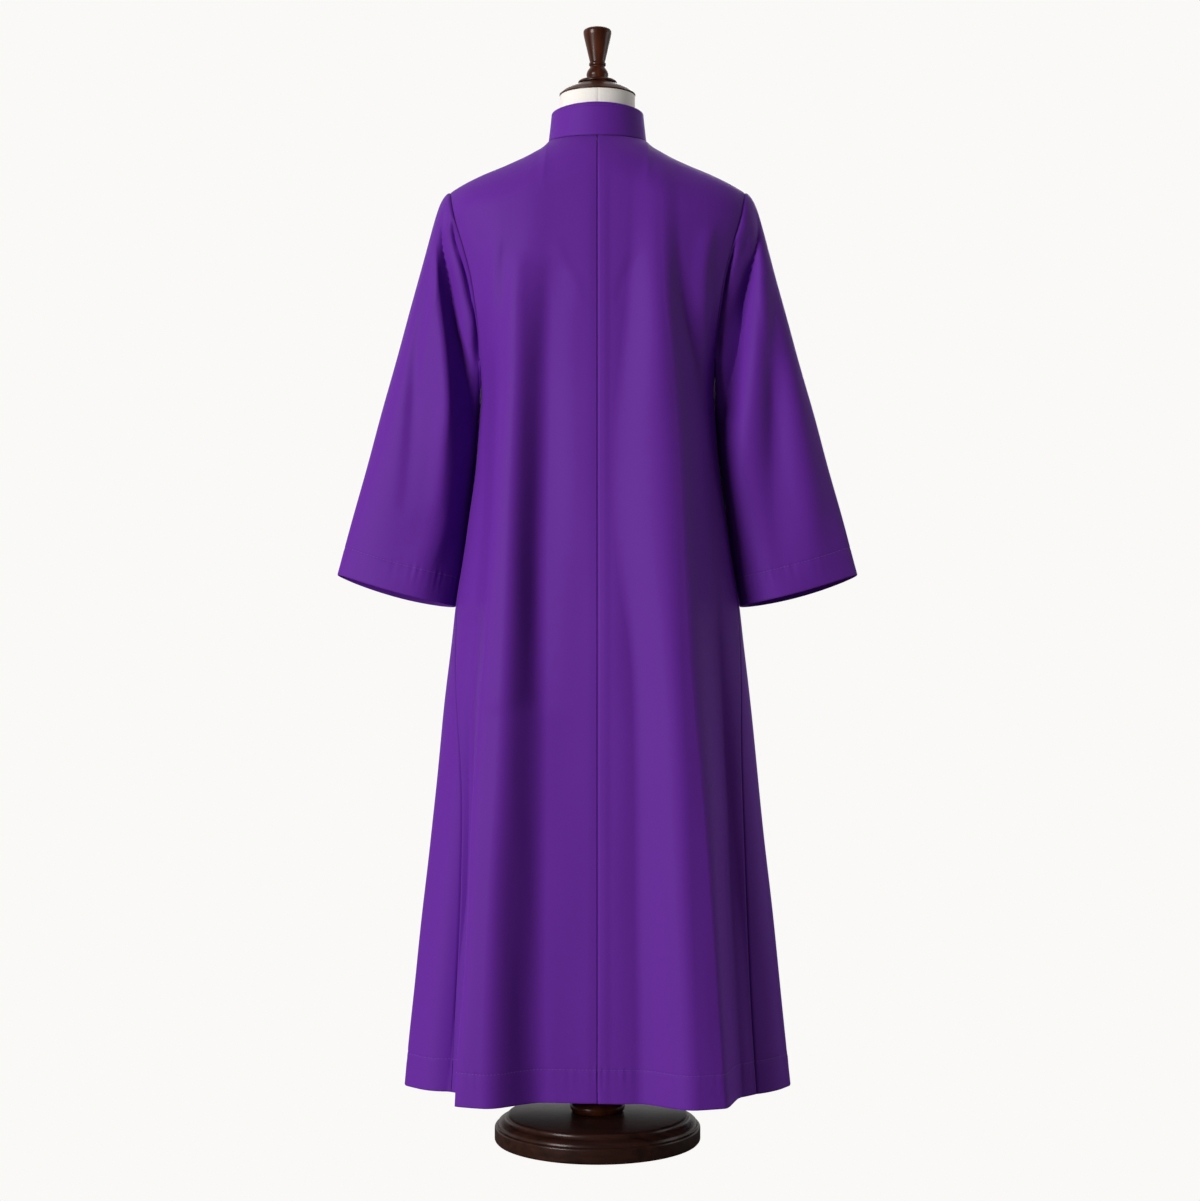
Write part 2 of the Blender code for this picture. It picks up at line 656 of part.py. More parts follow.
def add_form():
    """The torso and neck: rings stacked from the hips to the neck's flat top."""
    names = ("half_width", "back_depth", "front_depth")
    rings = [(z, *(FORM.at(name, z) for name in names)) for z in FORM.key]
    heights = RIDGE.values["height"][::-1]
    reaches = RIDGE.values["reach"][::-1]
    for z in SHOULDER_RINGS:
        reach = np.interp(z + FORM_CLEARANCE, heights, reaches)
        rings.append((z, reach, *(SHOULDER_DEPTH.at(name, z) for name in names[1:])))
    rings += [(z, radius, radius, radius) for z, radius in NECK_RINGS]

    shape = bmesh.new()
    loops = []
    for z, width, back, front in rings:
        loop = []
        for i in range(FORM_SIDES):
            turn = 2 * math.pi * i / FORM_SIDES
            x = width * math.sin(turn)
            wing = (back if math.cos(turn) > 0 else front) * abs(math.cos(turn))
            neck = math.sqrt(max(NECK_RADIUS**2 - x * x, 0)) if z < NECK_RINGS[0][0] else 0
            y = -math.copysign(max(wing, neck), math.cos(turn))
            loop.append(shape.verts.new((x, y, z)))
        loops.append(loop)
    for low, high in zip(loops, loops[1:]):
        for i in range(FORM_SIDES):
            j = (i + 1) % FORM_SIDES
            shape.faces.new((low[i], low[j], high[j], high[i]))
    shape.faces.new(loops[0])
    shape.faces.new(loops[-1])
    bmesh.ops.recalc_face_normals(shape, faces=shape.faces)
    mesh = bpy.data.meshes.new("form_torso")
    shape.to_mesh(mesh)
    shape.free()
    mesh.shade_smooth()
    mesh.set_sharp_from_angle(angle=math.radians(50))
    return add_object("form_torso", mesh, LINEN, 0.85)


def add_stand():
    add_form()
    cap = (
        (0, CAP_BASE + 0.0177),
        (0.026, CAP_BASE + 0.0177),
        (0.031, CAP_BASE + 0.0145),
        (0.043, CAP_BASE + 0.0085),
        (0.052, CAP_BASE + 0.0040),
        (0.0555, CAP_BASE + 0.0018),
        (0.0555, CAP_BASE),
        (0, CAP_BASE),
    )
    add_turned("neck_cap", cap, TURNED_SIDES, DARK_WOOD, 0.3)
    finial_base = CAP_BASE + 0.0180
    finial = (
        (0, 1.6215),
        (0.012, 1.6205),
        (0.0190, 1.6170),
        (0.0207, 1.6134),
        (0.0200, 1.6085),
        (0.0109, 1.5656),
        (0.0096, 1.5613),
        (0.0125, 1.5560),
        (0.0160, 1.5500),
        (0.0140, 1.5460),
        (0.0270, 1.5445),
        (0.0285, 1.5425),
        (0.0285, finial_base),
        (0, finial_base),
    )
    add_turned("finial", finial, 32, DARK_WOOD, 0.25)
    base = (
        (0, BASE_TOP),
        (0.042, BASE_TOP),
        (0.090, 0.0400),
        (0.1280, 0.0375),
        (0.1310, 0.0355),
        (0.1325, 0.0325),
        (0.1365, 0.0290),
        (0.1380, 0.0255),
        (0.1430, 0.0215),
        (0.1485, 0.0200),
        (0.1500, 0.0180),
        (0.1500, 0.0025),
        (0.1480, 0),
        (0, 0),
    )
    add_turned("base", base, 48, DARK_WOOD, 0.25)
    hub_base = BASE_TOP + SEAM_GAP
    hub = (
        (0, 0.0700),
        (0.0160, 0.0700),
        (0.0180, 0.0640),
        (0.0240, 0.0590),
        (0.0340, 0.0565),
        (0.0395, 0.0520),
        (0.0395, 0.0460),
        (0.0370, hub_base),
        (0, hub_base),
    )
    add_turned("base_hub", hub, 32, DARK_WOOD, 0.25)
    pole_base, pole_top = 0.0703, float(FORM.key[0]) - SEAM_GAP
    pole = ((0, pole_top), (POLE_RADIUS, pole_top), (POLE_RADIUS, pole_base), (0, pole_base))
    add_turned("pole", pole, POLE_SIDES, STEEL, 0.35, 1.0)


def main():
    for old in list(bpy.data.objects):
        bpy.data.objects.remove(old)
    collection = bpy.data.collections.new(OBJECT_NAME)
    bpy.context.scene.collection.children.link(collection)
    for side, word in ((LEFT, "left"), (RIGHT, "right")):
        add_cloth(f"back_{word}", *Panel(side, True).faces())
        add_cloth(f"front_{word}", *Panel(side, False).faces())
        add_cloth(f"sleeve_{word}", *Sleeve(side).faces(), is_tube=True)
    add_cloth("collar", *collar_faces())
    add_stand()


main()
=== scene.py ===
"""The finished look of a full-length cassock on a limbless dress form.

Metres, +Z up.  The back of the garment faces -Y, so the wearer's left is at -X.
Every cloth piece is a fine grid of columns and rows on the form of its panel.
Folds, seams and puckers move its points in or out, and a second grid just
inside the first one closes it to a thin shell.
"""

import math

import bmesh
import bpy
import numpy as np
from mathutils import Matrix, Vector


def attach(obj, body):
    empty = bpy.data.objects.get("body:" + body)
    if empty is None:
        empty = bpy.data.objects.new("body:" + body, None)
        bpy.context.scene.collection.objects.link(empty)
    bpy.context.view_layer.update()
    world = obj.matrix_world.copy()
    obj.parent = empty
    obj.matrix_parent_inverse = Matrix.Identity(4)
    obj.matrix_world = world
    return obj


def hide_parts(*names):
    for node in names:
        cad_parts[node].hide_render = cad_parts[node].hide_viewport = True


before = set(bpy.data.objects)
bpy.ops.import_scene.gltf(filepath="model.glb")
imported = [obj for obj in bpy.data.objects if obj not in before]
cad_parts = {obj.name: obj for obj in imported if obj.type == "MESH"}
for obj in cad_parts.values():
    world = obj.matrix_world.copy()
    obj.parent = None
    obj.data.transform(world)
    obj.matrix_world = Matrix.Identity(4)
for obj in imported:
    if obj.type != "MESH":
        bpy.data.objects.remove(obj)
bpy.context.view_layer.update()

LEFT, RIGHT = -1, 1
SIDES = {LEFT: "left", RIGHT: "right"}

# Cloth.
CLOTH = 0.0011
BAND_CLOTH = 0.0009
COLLAR_CLOTH = 0.0020
SEAM_GAP = 0.0003
HEM_HEIGHT = 0.080
HEM_BAND = 0.047
CUFF_BAND = 0.041
SEAM_ALLOWANCE = 0.008
COLLAR_STITCH_DROP = 0.0042
STITCH_SIZES = ("Pitch", "Length", "Width")
HEM_STITCH = (0.0052, 0.0034, 0.00060)
COLLAR_STITCH = (0.0030, 0.0022, 0.00032)

PUCKER_PITCH = 0.0125
PUCKER_ABOVE = 0.005
HEM_PUCKER, CUFF_PUCKER = 0.0010, 0.0005
# Waves of hanging cloth: how many across and down, and where they start.
WAVES = ((41, 7.1, 0.4), (63, 11.3, 2.1), (97, 17.0, 4.4), (29, 23.0, 1.3), (17, 37.0, 5.2))
PANEL_WAVES, SLEEVE_WAVES = 0.0006, 0.0007
# Seam allowances: the depths of their two faces, and how far they reach into the sleeve.
ALLOWANCE_FACES = (0.0003, 0.0008)
ALLOWANCE_STEPS = (0.0012, 0.0024)
# How deep and how wide the cloth rolls in at its seams, its edges and its stitching.
SIDE_ROLL = (0.0010, 0.0014)
ARM_ROLL = (0.0005, 0.0011)
SLEEVE_ROLL = (0.0004, 0.0014)
TOP_ROLL = (0.0006, 0.0012)
CENTRE_ROLL = (0.0007, 0.0009)
CENTRE_HOLLOW = (0.0012, 0.0075)
CENTRE_LIP = 0.0010
LAP_ROLL = (0.0006, 0.0008)
EDGE_ROLL = (0.0007, 0.0009)
STITCH_GROOVE = (0.00035, 0.0016)
COLLAR_ROLLS = (0.0008, 0.0009), (0.0006, 0.0009), (0.0005, 0.0010)
INNER_COLLAR_ROLL = (0.0006, 0.0009)
# How strongly each seam's line of painted shade darkens the cloth, and how wide it is.
SIDE_SEAM_SHADE = (1.0, 0.0013)
TOP_SEAM_SHADE = (0.6, 0.0011)
CENTRE_SEAM_SHADE = (0.8, 0.0008)
HEM_SHADE = (0.12, 0.0011)
ARM_SEAM_SHADE = (1.0, 0.0018)
COLLAR_SHADES = (0.6, 0.0011), (0.5, 0.0010)

# What shows of each sheet, laid flat: its size and its area.
BACK_SHEET = ((0.34, 1.42), 0.355)
FRONT_SHEET = ((0.46, 1.42), 0.46)

# Neck, shoulders and arms.
NECK_REACH = 0.0717
NECK_HEIGHT = 1.453
SHOULDER_REACH = 0.2145
SHOULDER_HEIGHT = 1.3795
UNDERARM_HEIGHT = 1.110
SQUARENESS = 0.15
SHOULDER_ROUND = 0.050

# The front closes with the wearer's left side lapped over the right.
LAP = 0.0125
LAP_SINK = 0.0021
DIP_ENDS, DIP_STARTS = 0.0145, 0.030

# The necklines, and the columns of a panel: where they start, which of them follow the
# neckline round, and at which numbers they follow the folds.
BACK = {"neck_depth": 0.070, "neck_drop": 0.002, "neck_round": 0.085, "neck_turn": 67.5}
BACK |= {"starts": (0,), "neck_columns": (0, 3, 4), "stations": (0, 3, 4, 5, 8, 9, 11)}
FRONT = {"neck_depth": 0.073, "neck_drop": 0.043, "neck_round": 0.095, "neck_turn": 62}
FRONT |= {"starts": (-LAP, DIP_ENDS, DIP_STARTS), "neck_columns": (0, 1, 2, 4, 5)}
FRONT |= {"stations": (0, 1, 2, 4, 5, 6, 9, 10, 15)}

# Collar.
COLLAR_TOP_REACH = 0.0670
COLLAR_TOP_DEPTH = (0.0655, 0.0640)
COLLAR_SIDE_HEIGHT = 1.4955
COLLAR_TOP_RISE = (0.0045, -0.0405)
COLLAR_CURVE = 0.25

# Rows of a body panel.
TOP_ROWS = 5
ARM_LEVELS = (1.288, 1.245, 1.202, 1.162, 1.130, UNDERARM_HEIGHT)
SKIRT_LEVELS = (1.06, 1.00, 0.93, 0.85, 0.76, 0.66, 0.55, 0.44, 0.33, 0.22)
FULL_HEIGHT = SHOULDER_HEIGHT - SHOULDER_ROUND
LEVELS = (FULL_HEIGHT, *ARM_LEVELS, *SKIRT_LEVELS, HEM_HEIGHT + HEM_BAND, HEM_HEIGHT)
ARM_ROWS = TOP_ROWS + len(ARM_LEVELS)
BODY_ROWS = TOP_ROWS + len(LEVELS) - 1
COLUMN_PIECES, TOP_PIECES = 7, 8
ROW_SPACING = 0.0055
LIFT_ENDS = 0.60
SPREAD_DROP = 0.14

# Sleeves.
SLEEVE_SIDES = 2 * ARM_ROWS
CUFF_OUTER = (0.380, 0.823)
CUFF_INNER = (0.2105, 0.7765)
CUFF_DEPTH = 0.038
INNER_FULLNESS = 0.42
CUFF_SAG = 0.0055
CUFF_FRONT_DROP = 0.0045
CAP_SWELL = 0.010
UNDERARM_TUCK = {LEFT: 0.0080, RIGHT: 0.0050}
INNER_CLEARANCE = 0.0010
CAP_LENGTH = 0.012
CAP_DIRECTION = (0.965, 0, 0.262)
SLEEVE_STAND = 0.0019
ARMHOLE_SEAM_STAND = 0.0006

# Folds of the body.
FRONT_FOLD_SHARE = 0.85
SLEEVE_FRONT_SHARE = 0.45
FRONT_FOLDS_START, FRONT_FOLDS_END = 0.62, 1.15
SIDE_HOLLOW = 0.013
CREASE_END = 0.03
FACE_FADE = 0.035
SEAM_HIDES = 0.75
COLUMN_ANGLE = 0.03
EDGE_ANGLE = 0.04

# Form and stand.
FORM_CLEARANCE = 0.0030
NECK_RADIUS = 0.0575
FORM_SIDES, TURNED_SIDES = 144, 128
UPRIGHT_COLOURS = ((0.018, 0.0042, 0.0020, 1), (0.096, 0.023, 0.009, 1))
# The base's colours are darker than the upright's: partly the wood's own tone, partly painted shade of
# the skirt hanging over it.
LEVEL_COLOURS_WITH_SHADE = ((0.012, 0.0046, 0.0030, 1), (0.044, 0.0155, 0.0105, 1))

MM = 1000


class Table:
    """A short table, read as smooth curves against its first column.

    Its rows give lengths in millimetres and shares in thousandths.
    """

    def __init__(self, columns, *rows):
        rows = np.array(sorted(rows)) / MM
        self.key = rows[:, 0]
        self.values = {name: rows[:, i] for i, name in enumerate(columns)}
        self.slopes = {name: np.gradient(v, self.key) for name, v in self.values.items()}

    def at(self, name, key):
        key = np.clip(key, self.key[0], self.key[-1])
        i = np.clip(np.searchsorted(self.key, key) - 1, 0, len(self.key) - 2)
        span = self.key[i + 1] - self.key[i]
        t = (key - self.key[i]) / span
        value, slope = self.values[name], self.slopes[name]
        start = (1 + 2 * t) * (1 - t) ** 2 * value[i] + t * (1 - t) ** 2 * span * slope[i]
        end = t * t * (3 - 2 * t) * value[i + 1] - t * t * (1 - t) * span * slope[i + 1]
        return start + end


BODY = Table(
    ("height", "half_width", "back_depth", "front_depth"),
    (80, 281.8, 123.5, 152), (300, 259, 119, 144), (500, 237, 115, 136), (720, 214, 108, 126),
    (775, 207.5, 105.5, 123), (850, 195.5, 102.5, 119), (911, 187, 100, 116), (969, 178.7, 98.5, 114),
    (1030, 173.5, 98, 113), (1110, 170.5, 100, 114), (1140, 175.5, 102, 116), (1175, 184.5, 104.5, 118),
    (1211, 197, 107, 120), (1259, 209, 109.5, 120), (1296, 221, 110.5, 119), (1330, 231, 110, 116),
    (1381, 241, 107, 110), (1460, 248, 100, 105),
)
RIDGE = Table(
    ("reach", "height"),
    (NECK_REACH * MM, NECK_HEIGHT * MM), (76.6, 1448.3), (93.4, 1437.8), (131, 1419.6), (171.5, 1402.6),
    (190.5, 1393.6), (205, 1385.5), (SHOULDER_REACH * MM, SHOULDER_HEIGHT * MM),
)
ARMHOLE = Table(
    ("height", "back", "front"),
    (1110, 170.5, 170.5), (1140, 169.5, 168), (1175, 171.6, 168), (1211, 176, 171.5),
    (1259, 184, 179.5), (1296, 194, 190), (1331, 204.5, 201.5),
    (SHOULDER_HEIGHT * MM, SHOULDER_REACH * MM, SHOULDER_REACH * MM),
)
# Where the side seam lies, as a share of the half width, on the back of the body.
SIDE_SEAM = Table(
    ("height", "share"),
    (80, 811), (228, 824), (430, 868), (577, 907), (740, 972), (850, 995), (1000, 999.5), (1110, 1000),
)
# One long soft fold on each side of the back: it rises at one reach from the
# centre line and falls away, more steeply, at another.
FOLD_COLUMNS = ("height", "rise", "rise_width", "fall", "fall_width", "swell")
FOLDS = {
    LEFT: Table(
        FOLD_COLUMNS,
        (80, 117, 86, 208.5, 16, 51), (295, 115, 82, 200, 18, 48), (500, 109, 74, 189, 22, 43),
        (720, 104, 62, 170, 26, 34), (840, 102, 56, 158, 28, 29), (1040, 97, 54, 150, 24, 24),
        (1140, 93, 50, 150, 26, 18), (1211, 89, 46, 152, 30, 10), (1300, 84, 46, 154, 34, 3),
        (1460, 80, 46, 154, 34, 0),
    ),
    RIGHT: Table(
        FOLD_COLUMNS,
        (80, 97, 85, 193, 30, 55), (295, 92, 80, 181, 34, 48), (500, 88, 76, 168, 40, 42),
        (720, 79, 72, 151, 46, 36), (840, 69, 84, 146, 48, 35), (1040, 64, 82, 134, 44, 30),
        (1140, 64, 64, 120, 32, 25), (1211, 64, 50, 109, 26, 18), (1300, 65, 40, 105, 26, 8),
        (1460, 65, 40, 105, 26, 0),
    ),
}
# The sleeve's inner line lies close to the body, a little towards the front.
INNER_LINE = Table(
    ("share", "inwards", "forwards"),
    (0, 0, 0), (100, 5, 14), (200, 8, 24), (400, 11.2, 33), (600, 10.8, 34), (800, 8.4, 31),
    (1000, 2.8, 22),
)
# The long hollow down the back of each sleeve, from the shoulder to the underarm.
SLEEVE_HOLLOW_COLUMNS = ("height", "reach", "depth")
SLEEVE_HOLLOW_WIDTH = 0.020
SLEEVE_HOLLOW = {
    LEFT: Table(
        SLEEVE_HOLLOW_COLUMNS,
        (1030, 178, 3), (1070, 190, 8), (1180, 208, 12), (1260, 220, 10), (1350, 225, 2),
    ),
    RIGHT: Table(
        SLEEVE_HOLLOW_COLUMNS,
        (1030, 180, 3), (1070, 190, 8), (1180, 200, 11), (1260, 216, 10), (1350, 225, 2),
    ),
}
# Below it the back of the sleeve stands out in one soft fold, close to the body.
SLEEVE_FOLD_COLUMNS = ("height", "reach", "stand")
SLEEVE_FOLD_WIDTHS = (0.017, 0.030)
SLEEVE_FOLD = {
    LEFT: Table(
        SLEEVE_FOLD_COLUMNS,
        (780, 258, 3), (830, 244, 6), (880, 226, 11), (940, 216, 15), (1030, 211, 16), (1100, 209, 14),
        (1160, 214, 8), (1220, 222, 0),
    ),
    RIGHT: Table(
        SLEEVE_FOLD_COLUMNS,
        (780, 246, 3), (830, 236, 6), (880, 221, 10), (940, 211, 13), (1030, 211, 14), (1100, 213, 12),
        (1160, 221, 6), (1220, 229, 0),
    ),
}
FORM = Table(
    ("height", "half_width", "back_depth", "front_depth"),
    (745, 118, 66, 72), (760, 140, 80, 87), (800, 152, 88, 95), (860, 154, 89, 98), (930, 146, 84, 94),
    (1000, 137, 79, 88), (1060, 134, 78, 88), (1130, 139, 83, 96), (1200, 149, 90, 103),
    (1260, 160, 95, 103), (1310, 174, 96, 99), (1350, 188, 93, 92), (1378, 197, 88, 83),
)
SHOULDER_DEPTH = Table(
    ("height", "back_depth", "front_depth"),
    (1388.5, 80, 74), (1398.5, 74, 66), (1408.5, 67, 57), (1418.5, 57, 46), (1428.5, 46, 36),
    (1436.5, 34, 25), (1445.5, 20, 10),
)
NECK = Table(("height", "radius"), (1458, 57.5), (1475, 56), (1500, 54.8), (1522.5, 54.7))

# Smaller folds.  Each one runs down a list of places and stands out of the cloth
# (depth above 0) or sinks into it (depth below 0).  inner and outer are its widths
# towards the middle of the back and towards the side.
CREASE_COLUMNS = ("height", "reach", "depth", "inner", "outer")


class Crease:
    """One of the smaller folds.  widths, where given, ends every row."""

    def __init__(self, *rows, widths=(), sharp=False):
        self.table = Table(CREASE_COLUMNS, *((*row, *widths) for row in rows))
        self.power = 1.2 if sharp else 2

    def at(self, reach, height):
        low, high = self.table.key[0], self.table.key[-1]
        off = reach - self.table.at("reach", height)
        width = np.where(off < 0, self.table.at("inner", height), self.table.at("outer", height))
        shape = np.exp(-(np.abs(off / width) ** self.power))
        runs_to_hem = low < HEM_HEIGHT
        ends = ease((height - low) / CREASE_END + runs_to_hem) * ease((high - height) / CREASE_END)
        return self.table.at("depth", height) * shape * ends


def centre_swell(side):
    """The middle of the back leans a little to one side, so its crest lies right of the seam."""
    depths = ((60, 7), (300, 8), (500, 9.5), (900, 9), (1100, 6), (1200, 4), (1300, 2), (1400, 0))
    widths = (50, 80 if side == RIGHT else 50)
    return Crease(*((height, 42 * side, depth) for height, depth in depths), widths=widths)


def ease(t):
    """A smooth step from 0 to 1."""
    t = np.clip(t, 0, 1)
    return t * t * (3 - 2 * t)


LEFT_SIDE_FOLD = Crease(
    (60, 220, -34, 8, 34), (150, 214, -36, 8, 34), (221, 208, -37, 9, 34), (363, 202, -36, 10, 34),
    (504, 198, -26, 11, 30), (645, 186, -10, 11, 22), (780, 169, -2, 11, 20), sharp=True,
)
RIGHT_SIDE_FOLD = Crease(
    (60, 208, -4), (221, 196, -6), (363, 193, -8), (504, 187, -6), (645, 178, -3), (760, 168, -1),
    widths=(14, 14), sharp=True,
)
BACK_CREASES = {
    LEFT: (
        centre_swell(LEFT),
        LEFT_SIDE_FOLD,
        Crease(
            (620, 80, -2, 30, 20), (758, 80, -4, 30, 20), (843, 78, -5, 30, 20), (999, 72, -6, 28, 20),
            (1140, 70, -5, 26, 18), (1211, 68, -4, 26, 18), (1280, 66, -1, 26, 18),
        ),
        Crease(
            (1110, 164, 1, 6, 14), (1140, 160, 2, 6, 14), (1211, 148, 3, 6, 16),
            (1268, 144.5, 3, 6, 16), (1310, 139, 1, 6, 12),
        ),
        Crease(
            (1190, 23, 0.3), (1211, 24, 0.8), (1239, 32, 0.9), (1268, 49, 0.9), (1307, 60, 0.4),
            widths=(8, 14),
        ),
        Crease(
            (620, 135, 3, 22, 26), (758, 130, 5, 22, 26), (843, 128, 6, 20, 26), (999, 122, 6, 18, 26),
            (1140, 118, 5, 16, 18), (1211, 116, 5, 14, 14), (1290, 112, 2, 14, 14),
        ),
    ),
    RIGHT: (
        centre_swell(RIGHT),
        RIGHT_SIDE_FOLD,
        Crease(
            (960, 148, 1, 14, 10), (1070, 148.5, 3, 14, 10), (1140, 150, 5, 16, 10),
            (1211, 151, 6, 16, 9), (1268, 153, 5, 14, 8), (1296, 157, 4, 14, 9), (1330, 164, 2, 12, 10),
        ),
        Crease(
            (1190, 30, -0.3), (1230, 34, -0.9), (1268, 50, -0.9), (1290, 60, -0.4), widths=(8, 14),
        ),
    ),
}
FRONT_CREASES = {LEFT: (LEFT_SIDE_FOLD,), RIGHT: (RIGHT_SIDE_FOLD,)}
SLEEVE_CREASES = {
    LEFT: (
        Crease(
            (1030, 179, -4, 12, 12), (1075, 183.5, -8, 12, 12), (1111, 190, -11, 11, 11),
            (1147, 196.1, -13, 8, 10), (1178, 203.3, -14, 7, 9), (1214, 209.1, -14, 7, 8),
            (1261, 216.3, -12, 6, 7), (1296, 222.8, -10, 6, 6), (1323, 224.1, -8, 5, 6),
            (1360, 220.6, -3, 5, 6), sharp=True,
        ),
        Crease(
            (1120, 170, -4, 8, 6), (1147, 172, -7, 8, 6), (1186, 173.5, -13, 8, 6),
            (1219, 181.2, -14, 8, 6), (1261, 190.5, -14, 8, 6), (1296, 202.5, -12, 6, 5),
            (1340, 209, -6, 5, 5), sharp=True,
        ),
        Crease(
            (900, 230, 1, 12, 18), (1003, 220, 4, 10, 18), (1075, 213.5, 7, 8, 16),
            (1147, 217.8, 9, 7, 14), (1219, 226.5, 8, 6, 12), (1277, 233.6, 5, 5, 9),
            (1320, 237, 2, 4, 6),
        ),
        Crease(
            (900, 280, -1, 16, 14), (1003, 271, -3, 14, 12), (1075, 265.3, -5, 12, 12),
            (1147, 261, -6, 11, 11), (1219, 249, -6, 10, 10), (1277, 240, -5, 8, 9),
            (1320, 235, -2, 8, 8),
        ),
    ),
    RIGHT: (
        Crease(
            (1010, 180, -4, 12, 12), (1075, 188, -8, 11, 12), (1111, 195.5, -12, 10, 11),
            (1147, 203.3, -14, 9, 10), (1178, 208, -14, 9, 10), (1219, 212, -14, 8, 9),
            (1254, 220, -13, 7, 8), (1289, 228, -10, 6, 7), (1330, 232, -7, 5, 6),
            (1360, 226.5, -2, 5, 6), sharp=True,
        ),
        Crease(
            (1130, 170, -3, 6, 8), (1160, 173, -9, 6, 8), (1200, 177.5, -14, 6, 8),
            (1240, 183.5, -14, 6, 8), (1277, 190, -12, 6, 7), (1310, 200, -3, 5, 6), sharp=True,
        ),
        Crease(
            (800, 270, -1, 18, 18), (870, 262, -2, 18, 18), (930, 257, -3, 16, 20),
            (1000, 255, -5, 15, 20), (1080, 255, -6, 14, 20), (1147, 255, -6, 14, 18),
            (1219, 256, -5, 12, 10), (1270, 249, -2, 10, 10),
        ),
        Crease(
            (790, 325, 1, 26, 26), (870, 313, 4, 26, 24), (930, 308, 6, 26, 22), (1000, 300, 6, 24, 18),
            (1080, 291, 5, 20, 14), (1150, 281, 2, 18, 12),
        ),
        Crease(
            (780, 210, 3, 10, 18), (830, 204, 6, 10, 19), (870, 199, 8, 9, 19), (930, 193, 10, 9, 19),
            (1000, 188, 10, 9, 18), (1070, 186, 5, 9, 14),
        ),
    ),
}


def fold_swell(side, is_back, reach, height):
    """How far the long fold stands out from the body."""
    folds = FOLDS[side if is_back else -side]
    rising = ease((reach - folds.at("rise", height)) / folds.at("rise_width", height) + 0.5)
    falling = ease((reach - folds.at("fall", height)) / folds.at("fall_width", height) + 0.5)
    share = 1 if is_back else FRONT_FOLD_SHARE * ease((FRONT_FOLDS_END - height) / 0.35)
    return folds.at("swell", height) * share * rising * (1 - falling)


def side_hollow(angle_from_middle, height):
    """The cloth sinks a little between the fold and the side of the skirt."""
    degrees = np.degrees(angle_from_middle)
    depth = SIDE_HOLLOW * ease((0.85 - height) / 0.75)
    return depth * ease((degrees - 45) / 10) * ease((90 - degrees) / 16)


def body_depth(side, angle, height):
    """Depth from the garment's middle plane, at an angle from the centre back."""
    total = 0
    for is_back, name in ((True, "back_depth"), (False, "front_depth")):
        own = angle if is_back else math.pi - angle
        inside = np.clip(own, -math.pi / 2, math.pi / 2)
        round_part = np.cos(inside) * (1 + SQUARENESS * np.sin(inside) ** 2)
        reach = BODY.at("half_width", height) * np.sin(np.abs(inside))
        depth = BODY.at(name, height) * round_part + fold_swell(side, is_back, reach, height)
        total = total + np.where(own < math.pi / 2, depth - side_hollow(inside, height), 0)
    return total


